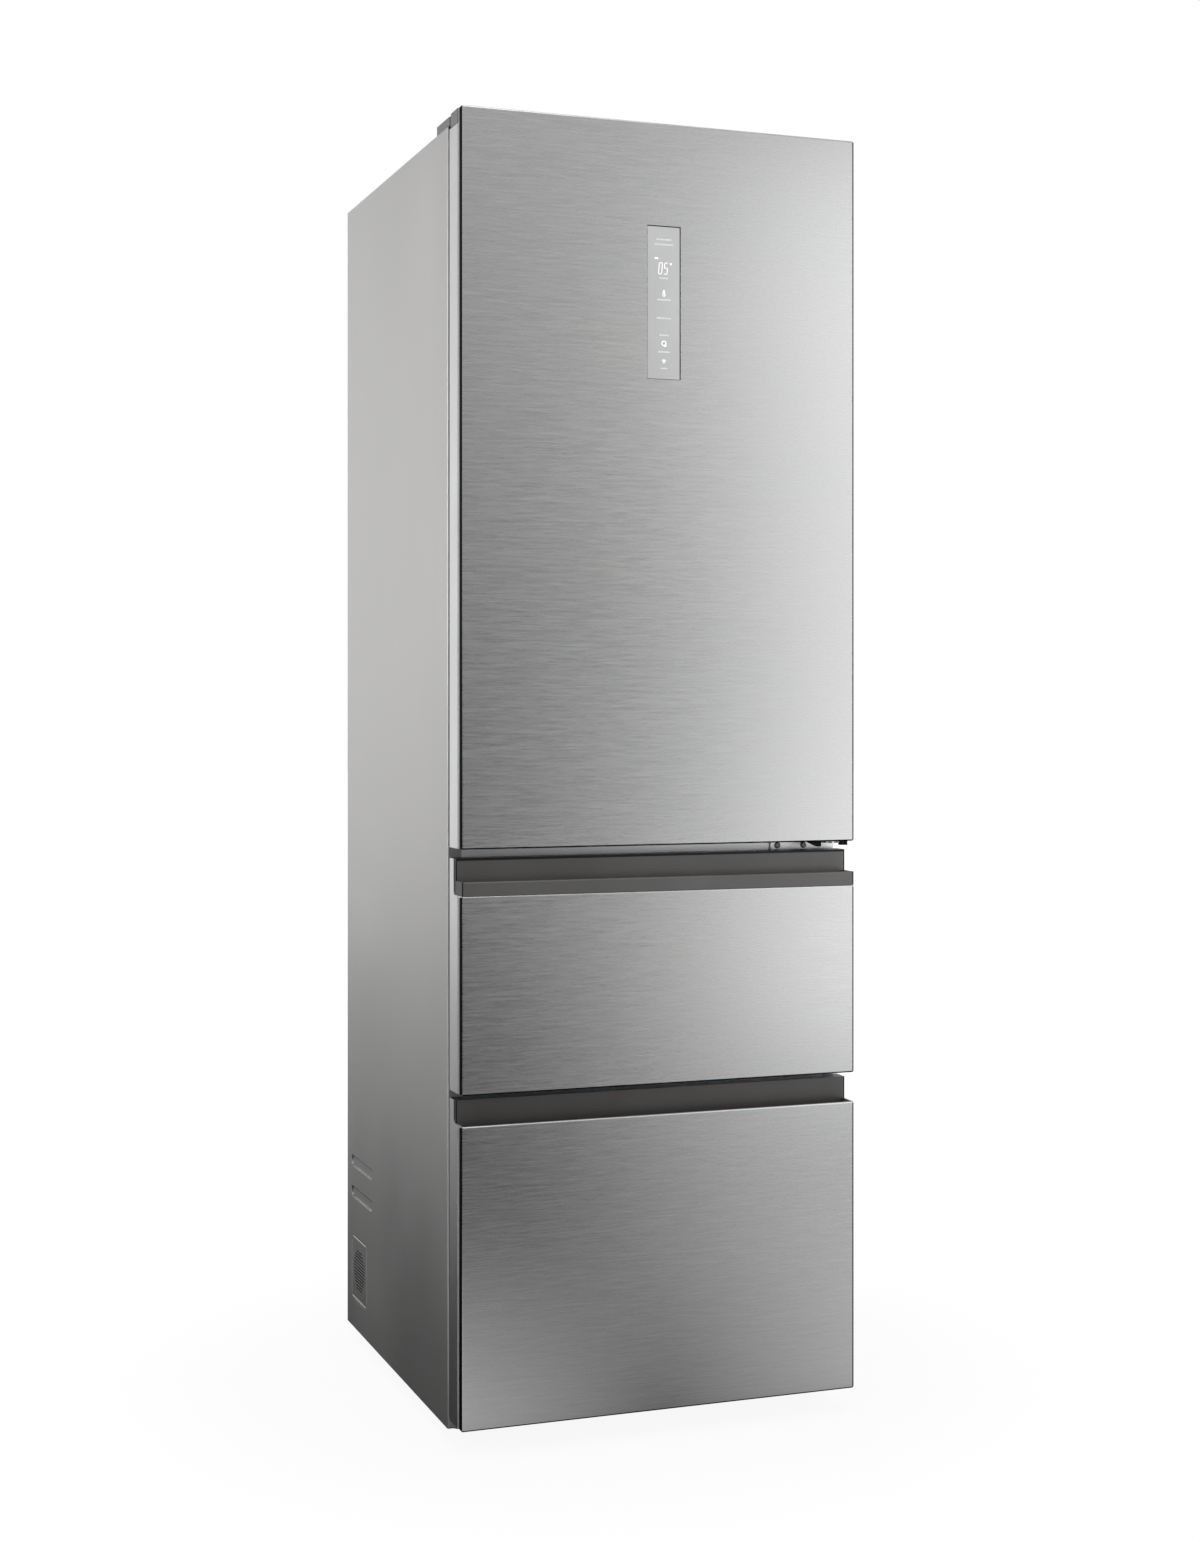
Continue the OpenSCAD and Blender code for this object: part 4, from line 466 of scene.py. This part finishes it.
def shaded_slots(tree, colour):
    """The upper flank of both pressed slots lies in shadow."""
    slot_tops, slot_y = (0.2480, 0.2980), (0.163, 0.296)
    under, over = 0.0024, 0.0003
    outer_x = (-0.2990, -0.2940)
    bands = [product(tree, beyond(tree, "Z", top - under), before(tree, "Z", top + over))
             for top in slot_tops]
    along = product(tree, beyond(tree, "Y", slot_y[0]), before(tree, "Y", slot_y[1]))
    outer = product(tree, before(tree, "X", outer_x[1]), beyond(tree, "X", outer_x[0]))
    shade = product(tree, greater(tree, *bands), product(tree, along, outer))
    return mixed(tree, product(tree, shade, 0.75), colour, tone(20))


def dark_ends(tree, colour):
    """The grips' closed ends and the upper edge of their walls lie in shadow."""
    end_x, wall_top_z = 0.2948, 0.8142
    ends = greater(tree, before(tree, "X", -end_x), beyond(tree, "X", end_x))
    return mixed(tree, greater(tree, ends, beyond(tree, "Z", wall_top_z)), colour, tone(30))


def shaded_front(tree, colour):
    """The front of the top cover, in the joint behind the door's cap, is darker."""
    joint_back_y = -0.2755
    return mixed(tree, before(tree, "Y", joint_back_y), colour, tone(24))


def lugs(tree, colour):
    """The two travel lugs at the hinge's outer end are black."""
    lug_x, lug_y = 0.2848, -0.300
    outer = product(tree, beyond(tree, "X", lug_x), before(tree, "Y", lug_y))
    return mixed(tree, outer, colour, tone(14))


def outline(x, z, radius, inset=0.0, steps=6):
    """Rounded rectangle in X and Z, run round from the lower right corner, as two arrays.
    Each corner is an arc of centre c and radius r, c + r (cos a, sin a), and a goes through a
    quarter turn."""
    least_r = 0.0002
    r = max(radius - inset, least_r)
    x0, x1, z0, z1 = x[0] + inset, x[1] - inset, z[0] + inset, z[1] - inset
    a = np.linspace(-pi / 2, 0, steps)
    turns = [a, a + pi / 2, a + pi, a + 3 * pi / 2]
    centres = [(x1 - r, z0 + r), (x1 - r, z1 - r), (x0 + r, z1 - r), (x0 + r, z0 + r)]
    px = np.concatenate([c[0] + r * np.cos(t) for c, t in zip(centres, turns)])
    pz = np.concatenate([c[1] + r * np.sin(t) for c, t in zip(centres, turns)])
    return px, pz


def ring(x, z, radius, inset, y, steps=6):
    """The rounded rectangle at a depth y, which may change from point to point."""
    px, pz = outline(x, z, radius, inset, steps)
    return px, np.broadcast_to(y, px.shape).astype(float), pz


def turned(rings):
    """The same rings run the other way round, so that faces between them point outwards."""
    return [tuple(v[::-1] for v in r) for r in rings]


def grid_faces(count, around, closed):
    """Quads of a grid of count rows with around points each: point i of row j, the next point, the
    same two in the next row. Every row is closed on itself, and the last row joins the first where
    closed is true."""
    j, i = np.meshgrid(np.arange(count if closed else count - 1), np.arange(around), indexing="ij")
    after, above = (i + 1) % around, (j + 1) % count
    corners = (j * around + i, j * around + after, above * around + after, above * around + i)
    return np.stack(corners, -1).reshape(-1, 4)


def new_piece(name, points, faces, finishes):
    mesh = bpy.data.meshes.new(name)
    mesh.from_pydata(points.tolist(), [], faces)
    mesh.update()
    for finish in finishes:
        mesh.materials.append(finish)
    piece = bpy.data.objects.new(name, mesh)
    bpy.context.scene.collection.objects.link(piece)
    return piece


def lofted(name, rings, closed, finishes, per_ring=None):
    """A surface through rings of equal point counts: ring j and point i give the grid point (i, j).
    It's closed along i. Along j it either joins the last ring to the first or ends in flat caps.
    per_ring gives the number of the finish between each ring and the next."""
    sharp_angle = radians(40)
    grid = np.stack([np.stack(r, axis=1) for r in rings])
    count, around = grid.shape[:2]
    faces = grid_faces(count, around, closed).tolist()
    if not closed:
        faces.append(list(range(around))[::-1])
        faces.append(list(range((count - 1) * around, count * around)))
    piece = new_piece(name, grid.reshape(-1, 3), faces, finishes)
    mesh = piece.data
    if per_ring is not None:
        per_face = np.zeros(len(faces), np.int32)
        strips = np.concatenate([np.broadcast_to(m, around) for m in per_ring])
        per_face[:len(strips)] = strips
        mesh.polygons.foreach_set("material_index", per_face)
    mesh.polygons.foreach_set("use_smooth", np.ones(len(faces), bool))
    mesh.update()
    mesh.set_sharp_from_angle(angle=sharp_angle)
    return piece


def steel_skin(name, body, z, opening=None, open_top=False):
    """Folded steel front. Round the outline runs a profile: flat face, quarter bend of radius b,
    side return, rim, and the same inside at the sheet's thickness. The bend's inset is b (1 - sin
    a) and its depth b (1 - cos a). Finish 0 is the brushed face and finish 1 the fold painted dark
    as a painted dark reflection, which starts on the face at the right, a step later on the bend at
    the left, and isn't dark along the upper edge."""
    x = (-half_w, half_w)
    margin, near, lip = 0.008, 0.0006, 0.0002
    px, pz = outline(x, z, corner_r)
    level = np.clip((pz - (z[1] - corner_r)) / corner_r, 0, 1) if open_top else np.zeros_like(pz)
    back = front_y + skin_return + (skin_bend + lip - skin_return) * level
    px, pz = px[::-1], pz[::-1]
    rim = np.where(np.minimum(pz, np.roll(pz, -1)) > z[1] - near, 0, 1)
    left = np.maximum(px, np.roll(px, -1)) < -half_w + near
    right = np.minimum(px, np.roll(px, -1)) > half_w - near
    inner_y = front_y + skin_t
    bright_turn = 0.3
    # Rings of finish 1 are painted dark: a painted dark reflection on the fold, the face's edge at
    # the right and the bend.
    profile = [(margin, front_y, 0), (skin_bend + near, front_y, np.where(right, 1, 0))]
    profile += [(skin_bend * (1 - np.sin(a)), front_y + skin_bend * (1 - np.cos(a)),
                 np.where(left & (a < bright_turn), 0, rim)) for a in np.linspace(0, pi / 2, 5)]
    profile += [(0.0, back, 1), (skin_t, back, 1), (skin_t, inner_y, 1), (margin, inner_y, 1)]
    rings = [ring(x, z, corner_r, inset, y) for inset, y, _ in profile]
    per_ring = [finish for _, _, finish in profile]
    if opening:
        rings.insert(0, ring(*opening, opening_r, 0.0, front_y))
        rings.append(ring(*opening, opening_r, 0.0, inner_y))
        per_ring = [0, *per_ring, 1]
    else:
        per_ring.pop()
    piece = lofted(name, turned(rings), bool(opening), (front_steel, fold_painted_dark), per_ring)
    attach(piece, body)
    return piece


def seal_bellows(name, body, z):
    """Door seal: a bellows section carried round a rounded rectangle. Each section point is an
    inset from the outer edge and a depth behind the door's back, here in millimetres."""
    outer = [(0.0, 0.0), (0.0, 1.2), (0.5, 2.0), (2.1, 2.7), (2.2, 3.3), (1.2, 4.3), (1.2, 5.0),
             (2.2, 6.0), (1.6, 6.8), (1.5, 8.9), (2.1, 9.6)]
    inner = [(9.9, 9.6), (10.5, 8.9), (10.4, 6.8), (9.8, 6.0), (10.8, 5.0), (10.8, 4.3), (9.8, 3.3),
             (9.9, 2.7), (11.5, 2.0), (12.0, 1.2), (12.0, 0.0)]
    seal_in, seal_r = 0.016, 0.008
    side = half_w - seal_in
    rings = [ring((-side, side), z, seal_r, inset, door_back_y + depth, 8)
             for inset, depth in np.array(outer + inner) / 1000]
    piece = lofted(name, rings, True, [seal_rubber])
    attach(piece, body)
    return piece


def plate(name, x, z, y, radius, bevel, finish):
    """Flat window: a rounded outline carried back from a small bevelled rim."""
    rings = [ring(x, z, radius, bevel, y[0]), ring(x, z, radius, 0.0, y[0] + bevel),
             ring(x, z, radius, 0.0, y[1])]
    return lofted(name, turned(rings), False, [finish])


def line_mesh(paths, y, thick):
    """Flat lines of a given width along paths in X and Z. At each point the line's two sides lie
    half a width along the normal n = (-dz, dx) of the smoothed direction d, and a shallow box
    closes it."""
    points, faces, start = [], [], 0
    for path, width, closed in paths:
        p = np.asarray(path, float)
        count = len(p)
        d = np.roll(p, -1, 0) - np.roll(p, 1, 0) if closed else np.gradient(p, axis=0)
        d /= np.linalg.norm(d, axis=1, keepdims=True)
        n = np.stack([-d[:, 1], d[:, 0]], 1) * width / 2
        sides = [(p + n, y), (p - n, y), (p - n, y + thick), (p + n, y + thick)]
        rows = np.stack([np.c_[s[:, 0], np.full(count, depth), s[:, 1]] for s, depth in sides], 1)
        faces += (grid_faces(count, 4, closed) + start).tolist()
        if not closed:
            faces.append([start + 3, start + 2, start + 1, start])
            faces.append([start + (count - 1) * 4 + k for k in range(4)])
        points.append(rows.reshape(-1, 3))
        start += 4 * count
    return np.concatenate(points), faces


def display_marks(name, paths, finish):
    """Marks that lie a hair in front of the window and behind the steel's face."""
    behind_steel, thick = 0.00004, 0.0001
    points, faces = line_mesh(paths, front_y + behind_steel, thick)
    piece = new_piece(name, points, faces, [finish])
    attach(piece, "upper_door")
    return piece


# Finishes of the outside
front_steel = brushed_steel("front_steel", tone(203), rough=0.27)
# The fold's side is painted near black: a painted dark reflection.
fold_painted_dark = folded_edge("front_folded_edge")
side_paint = painted_sheet("side_paint", tone(176, 175, 174), rough=0.42, metallic=0.75,
                           edge_r=0.0018, wear=0.2, overlay=shaded_slots)
grille_plastic = slotted_plate("grille_plastic", tone(176, 175, 174))
rail_paint = painted_sheet("rail_paint", tone(250, 252, 255), rough=0.38, metallic=0.75)
cap_plastic = moulded_plastic("top_cover_plastic", tone(106, 106, 107), rough=0.45,
                              overlay=shaded_front)
frame_look = dict(rough=0.34, texture=1800.0, depth=0.00002, rims=1.04, edge_r=0.0003,
                  metallic=0.95)
frame_plastic = moulded_plastic("front_frame_plastic", tone(196, 197, 197), overlay=cap_and_stop,
                                **frame_look)
drawer_plastic = moulded_plastic("drawer_frame_plastic", tone(196, 197, 197), overlay=painted_shade_tops,
                                 **frame_look)
grip_look = dict(rough=0.42, texture=1200.0, depth=0.00006, overlay=dark_ends, metallic=0.45)
grip_plastic = moulded_plastic("grip_plastic", tone(115, 114, 112), **grip_look)
# The lower grip is the upper grip's plastic made darker: painted shade.
shaded_low_grip_plastic = moulded_plastic("shaded_low_grip_plastic", tone(103, 101, 99), **grip_look)
seal_rubber = cast_rubber("seal_rubber", tone(56, 57, 58))
hinge_steel = painted_sheet("hinge_steel", tone(206, 208, 210), rough=0.3, metallic=0.8)
# rims=0.25 darkens the plate's rims to a quarter: painted shade along its outline.
hinge_plate = moulded_plastic("hinge_plate_finish", tone(208, 210, 212), rough=0.28,
                              texture=2200.0, depth=0.00002, rims=0.25, edge_r=0.0007,
                              overlay=lugs, metallic=0.8)
window_glass = display_glass("display_window_glass")
print_bright = printed("display_bright_marks", tone(252), glow=1.4)
print_faint = printed("display_faint_marks", tone(238), glow=0.5)

# Finishes of the inside, the back and the machine room
liner_plastic = moulded_plastic("liner_plastic", tone(232, 233, 233), rough=0.3, texture=260.0,
                                depth=0.00003, rims=1.03)
foam = set_foam("set_foam")
zinc = galvanised("galvanised_sheet")
runner_steel = drawn_steel("runner_steel", tone(206, 208, 210))
screw_steel = drawn_steel("screw_steel", tone(128, 130, 134), along="Z", rough=0.34)
shelf_glass = clear_sheet("shelf_glass", tone(236, 246, 242), rough=0.02, ripple=0.00001)
clear_plastic = clear_sheet("clear_bin_plastic", tone(238, 242, 245), rough=0.08)
trim_plastic = moulded_plastic("shelf_trim_plastic", tone(214, 216, 218), rough=0.3,
                               texture=1800.0, depth=0.00002, rims=1.05)
lamp_plastic = moulded_plastic("lamp_plastic", tone(244, 244, 240), rough=0.35, texture=500.0,
                               depth=0.00006, rims=1.02, glow=2.5)
fin_aluminium = drawn_steel("fin_aluminium", tone(198, 200, 203), along="Z", rough=0.35)
black_paint = painted_sheet("black_enamel", tone(30, 30, 31), rough=0.35, metallic=0.1,
                            edge_tone=tone(70))
fan_plastic = moulded_plastic("fan_plastic", tone(58, 59, 61), rough=0.42, texture=1500.0,
                              depth=0.00003)
cover_plastic = moulded_plastic("machine_cover_plastic", tone(60, 61, 63), rough=0.5,
                                texture=900.0, depth=0.00008)
gland_rubber = cast_rubber("gland_rubber", tone(42))
foot_plastic = moulded_plastic("foot_plastic", tone(48, 48, 49), rough=0.5)

node_finish = {
    side_paint: ["side_panel_left", "side_panel_right", "top_panel", "back_panel"],
    grille_plastic: ["side_grille"],
    rail_paint: ["centre_rail", "lower_rail"],
    zinc: ["machine_room_deck", "base_plate"],
    foam: ["cabinet_foam"],
    liner_plastic: ["fridge_liner", "middle_liner", "bottom_liner", "air_duct", "freezer_duct",
                    "door_liner", "middle_bin", "bottom_bin", "drain_pan"],
    cap_plastic: ["top_cover"],
    hinge_steel: ["top_hinge"],
    hinge_plate: ["middle_hinge"],
    screw_steel: ["hinge_screws"],
    shelf_glass: ["glass_shelves"],
    trim_plastic: ["shelf_trims"],
    clear_plastic: ["chill_drawer", "crisper_drawer", "door_bin_upper", "door_bin_middle",
                    "door_bin_lower"],
    lamp_plastic: ["fridge_lamp"],
    fin_aluminium: ["evaporator"],
    fan_plastic: ["evaporator_fan", "condenser_fan", "fan_frame"],
    black_paint: ["compressor", "condenser"],
    cover_plastic: ["machine_cover"],
    gland_rubber: ["cord_gland"],
    runner_steel: ["runner_rails", "middle_slides", "bottom_slides", "middle_runners",
                   "bottom_runners"],
    foot_plastic: ["front_foot_left", "front_foot_right", "rear_roller_left", "rear_roller_right"],
    frame_plastic: ["door_frame"],
    drawer_plastic: ["middle_frame", "bottom_frame"],
    grip_plastic: ["middle_handle"],
    shaded_low_grip_plastic: ["bottom_handle"],
    front_steel: ["door_front", "middle_front", "bottom_front"],
    seal_rubber: ["door_gasket", "middle_gasket", "bottom_gasket"],
    window_glass: ["display_panel"],
}
for finish, names in node_finish.items():
    for name in names:
        nodes[name].data.materials.clear()
        nodes[name].data.materials.append(finish)

# Steel fronts with bent rims
door_skin = steel_skin("door_steel_skin", "upper_door", door_z, opening=(opening_x, opening_z))
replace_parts(door_skin, "door_front")
middle_skin = steel_skin("middle_steel_skin", "middle_drawer", middle_z, open_top=True)
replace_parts(middle_skin, "middle_front")
bottom_skin = steel_skin("bottom_steel_skin", "bottom_drawer", bottom_z, open_top=True)
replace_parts(bottom_skin, "bottom_front")

# Bellows seals
for name, body, node in (("door_seal_bellows", "upper_door", "door_gasket"),
                         ("middle_seal_bellows", "middle_drawer", "middle_gasket"),
                         ("bottom_seal_bellows", "bottom_drawer", "bottom_gasket")):
    low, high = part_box(node)
    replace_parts(seal_bellows(name, body, (low.z, high.z)), node)

# Display window
window = plate("display_window", glass_x, glass_z, glass_y, glass_r, bevel=0.0003,
               finish=window_glass)
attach(window, "upper_door")
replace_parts(window, "display_panel")


# Marks on the display: places in millimetres, line widths and radii in metres
def spot(x, drop):
    """A place on the display: millimetres right of its middle and below its top."""
    return x / 1000, glass_z[1] - drop / 1000


def bar(start, end, drop):
    """A level line from start to end."""
    return np.array([spot(start, drop), spot(end, drop)])


def arc(x, drop, radius, start, end, steps=9):
    """Points c + r (cos a, sin a) about a spot c, for a from start to end in degrees."""
    c = spot(x, drop)
    a = np.radians(np.linspace(start, end, steps))
    return np.stack([c[0] + radius * np.cos(a), c[1] + radius * np.sin(a)], 1)


def circle(x, drop, radius, steps=13):
    """A whole turn of the arc, without its last point, which is the first."""
    return arc(x, drop, radius, 0, 360, steps)[:-1]


def caption(width, drop, dashes):
    """Dashes of uneven length that stand for a small caption, with a gap between each two."""
    thickness, half_gap = 0.0016, 0.3
    share = np.array(dashes, float)
    ends = np.cumsum(share) / share.sum() * width - width / 2
    starts = ends - share / share.sum() * width
    return [(bar(a + half_gap, b - half_gap, drop), thickness, False)
            for a, b in zip(starts, ends)]


def slanted(points, x):
    """Points of a digit in a box 1 wide and 2 high, made larger, leaned over and set on the
    display with the box's lower left corner at x."""
    width, half_height, lean, drop = 4.7, 7.9, 0.7, 67.6
    p = np.array(points, float)
    return np.stack([(x + (p[:, 0] * width + p[:, 1] * lean)) / 1000,
                     glass_z[1] - (drop - p[:, 1] * half_height) / 1000], 1)


stroke, bold = 0.0006, 0.0007
zero_x, five_x = -8.2, 0.0
zero = slanted([(0.15, 0), (0.85, 0), (1, 0.15), (1, 1.85), (0.85, 2), (0.15, 2), (0, 1.85),
                (0, 0.15)], zero_x)
five_top = slanted([(1, 2), (0.1, 2), (0, 1.9), (0, 1.1)], five_x)
five_bowl = slanted([(0, 1.08), (0.9, 1.08), (1, 0.95), (1, 0.15), (0.85, 0), (0, 0)], five_x)
minus = bar(-13.6, -9.0, 45.8)
degree = circle(10.4, 53.0, 0.0010)
two_rings = [(circle(0, 92.4, 0.0014), stroke, True), (circle(0, 96.8, 0.0020), bold, True)]
ring_and_bar = [(circle(0, 165.4, 0.0032, 17), bold, True), (bar(0.2, 3.6, 168.6), 0.0020, False)]
waves = [(arc(0, 193.0, radius, 48, 132), stroke, False) for radius in (0.0016, 0.0030, 0.0044)]
waves += [(circle(0, 192.8, 0.0004, 7), bold, True)]
bright = [(zero, stroke, True), (five_top, stroke, False), (five_bowl, stroke, False),
          (degree, stroke, True), (minus, 0.0019, False)] + two_rings + ring_and_bar + waves
faint = []
for width, drop, dashes in ((22.7, 19.0, (3, 2, 4, 3, 5)), (29.0, 26.0, (4, 3, 2, 5, 3, 4)),
                            (13.0, 73.5, (3, 2, 3)), (20.6, 104.0, (3, 4, 2, 5)),
                            (22.0, 130.0, (5, 3, 4, 3)), (14.3, 154.0, (3, 4, 3)),
                            (18.5, 177.6, (4, 3, 5)), (10.5, 200.8, (3, 4))):
    faint += caption(width, drop, dashes)
display_marks("display_bright_icons", bright, print_bright)
display_marks("display_faint_captions", faint, print_faint)

# Camera at the photograph's angle
scene = bpy.context.scene
view = bpy.data.cameras.new("camera")
view.lens = 52.674
view.sensor_width = 36.0
view.shift_y = -0.0449
camera = bpy.data.objects.new("camera", view)
camera.location = (-1.1710, -3.2953, 1.0339)
camera.rotation_euler = (radians(90), 0, radians(-19.949))
scene.collection.objects.link(camera)
scene.camera = camera


def softbox(name, place, aim, size, power, spread):
    """Soft rectangular lamp at a place, turned to an aim."""
    lamp = bpy.data.lights.new(name, "AREA")
    lamp.shape = "RECTANGLE"
    lamp.size, lamp.size_y = size
    lamp.energy = power
    lamp.spread = radians(spread)
    holder = bpy.data.objects.new(name, lamp)
    holder.location = place
    holder.rotation_euler = (Vector(aim) - Vector(place)).to_track_quat("-Z", "Y").to_euler()
    scene.collection.objects.link(holder)


softbox("softbox_right", (1.98, -2.75, 1.30), (0.1, -0.33, 1.2), (1.5, 2.6), power=15, spread=180)
softbox("softbox_left", (-2.1, 0.35, 1.5), (-0.3, 0.1, 1.5), (1.5, 1.2), power=9, spread=100)
softbox("softbox_top", (-0.3, -1.4, 3.6), (0.0, 0.0, 1.2), (1.8, 1.8), power=9, spread=110)
softbox("softbox_right_side", (2.3, 0.5, 1.5), (0.3, 0.1, 1.3), (1.8, 2.0), power=4.5, spread=120)
softbox("softbox_back", (0.3, 2.8, 1.5), (0.0, 0.3, 1.1), (2.2, 2.4), power=13, spread=120)

# World: white behind the object, pale and dark parts of a studio in its gloss, and an even fill
world = bpy.data.worlds.new("studio")
world.use_nodes = True
sky = world.node_tree
ray = add(sky, "ShaderNodeLightPath")
direction = add(sky, "ShaderNodeTexCoord").outputs["Generated"]
toward = add(sky, "ShaderNodeSeparateXYZ", {"Vector": direction})
to_x, to_y, to_z = toward.outputs
overhead = between(sky, to_z, 0.0, 0.60, -0.08, 0.32)
right_wall = between(sky, to_x, 0.0, 0.25, 0.28, 0.6)
left_wall = product(sky, between(sky, to_x, 0.95, 0.0, -0.4, -0.15),
                    between(sky, to_y, 1.0, 0.0, 0.0, 0.3))
back_wall = product(sky, between(sky, to_y, 0.0, 1.0, 0.3, 0.8),
                    between(sky, to_z, 1.0, 0.45, 0.0, 0.4))
back_wall = product(sky, back_wall, between(sky, to_z, 0.6, 0.95, -0.10, 0.0))
in_gloss = greater(sky, greater(sky, total(sky, overhead, right_wall), left_wall), back_wall)
fill = 0.25
level = graded(sky, ray.outputs["Is Glossy Ray"], fill, in_gloss)
seen = greater(sky, ray.outputs["Is Camera Ray"], ray.outputs["Is Transmission Ray"])
level = graded(sky, seen, level, 1.0)
sky.links.new(level, sky.nodes["Background"].inputs["Strength"])
sky.nodes["Background"].inputs["Color"].default_value = white
scene.world = world


def floor_finish():
    """Matt pale grey that fades to white away from the object, with a level of its own in gloss.
    Beside and behind the object that level grows with the distance d as d d / (d d + 12). Before
    it, the level changes across the floor, in one way close by and in another further off."""
    fade_start, fade_end = 0.5, 1.8
    growth = 12.0
    slant, dark_line = 0.36, -0.12
    material = bpy.data.materials.new("pale_floor")
    material.use_nodes = True
    tree = material.node_tree
    tree.nodes.clear()
    ray = add(tree, "ShaderNodeLightPath").outputs
    where = add(tree, "ShaderNodeTexCoord").outputs["Object"]
    x, y = axis_of(tree, "X"), axis_of(tree, "Y")
    far = add(tree, "ShaderNodeVectorMath", {0: where}, operation="LENGTH").outputs["Value"]
    matt = add(tree, "ShaderNodeBsdfDiffuse", {"Color": tone(205)}).outputs[0]
    bright = add(tree, "ShaderNodeEmission", {"Strength": 1.1}).outputs[0]
    straight = greater(tree, ray["Is Camera Ray"], ray["Is Transmission Ray"])
    share = product(tree, straight, between(tree, far, 0.84, 1.0, fade_start, fade_end))
    seen = add(tree, "ShaderNodeMixShader", {0: share, 1: matt, 2: bright}).outputs[0]
    squared = product(tree, far, far)
    beside = maths(tree, "DIVIDE", squared, total(tree, squared, growth))
    beside = product(tree, beside, 0.95)
    across = total(tree, x, product(tree, y, slant))
    close = total(tree, 0.2, product(tree, apart(tree, across, dark_line), 1.3))
    distant = between(tree, across, 0.05, 0.64, -0.38, 0.20)
    ahead = graded(tree, between(tree, y, 1.0, 0.0, -1.7, -0.4), close, distant)
    in_gloss = graded(tree, between(tree, y, 1.0, 0.0, -0.45, -0.30), beside, ahead)
    mirrored = add(tree, "ShaderNodeEmission", {"Strength": in_gloss}).outputs[0]
    surface = add(tree, "ShaderNodeMixShader", {0: ray["Is Glossy Ray"], 1: seen, 2: mirrored})
    add(tree, "ShaderNodeOutputMaterial", {"Surface": surface.outputs[0]})
    return material


def pale_floor():
    """A round floor of flat rings: radius r and angle a give the point (r cos a, r sin a, 0)."""
    radii = np.array([0.05, 1.0, 2.0, 4.0, 9.0, 30.0])[:, None]
    around = np.linspace(0, 2 * pi, 97)[:-1]
    grid = np.stack([radii * np.cos(around), radii * np.sin(around), 0 * radii * around], -1)
    upwards = grid_faces(len(radii), len(around), closed=False)[:, [0, 3, 2, 1]]
    faces = upwards.tolist() + [list(range(len(around)))]
    new_piece("floor", grid.reshape(-1, 3), faces, [floor_finish()])


pale_floor()

scene.view_settings.view_transform = "Standard"
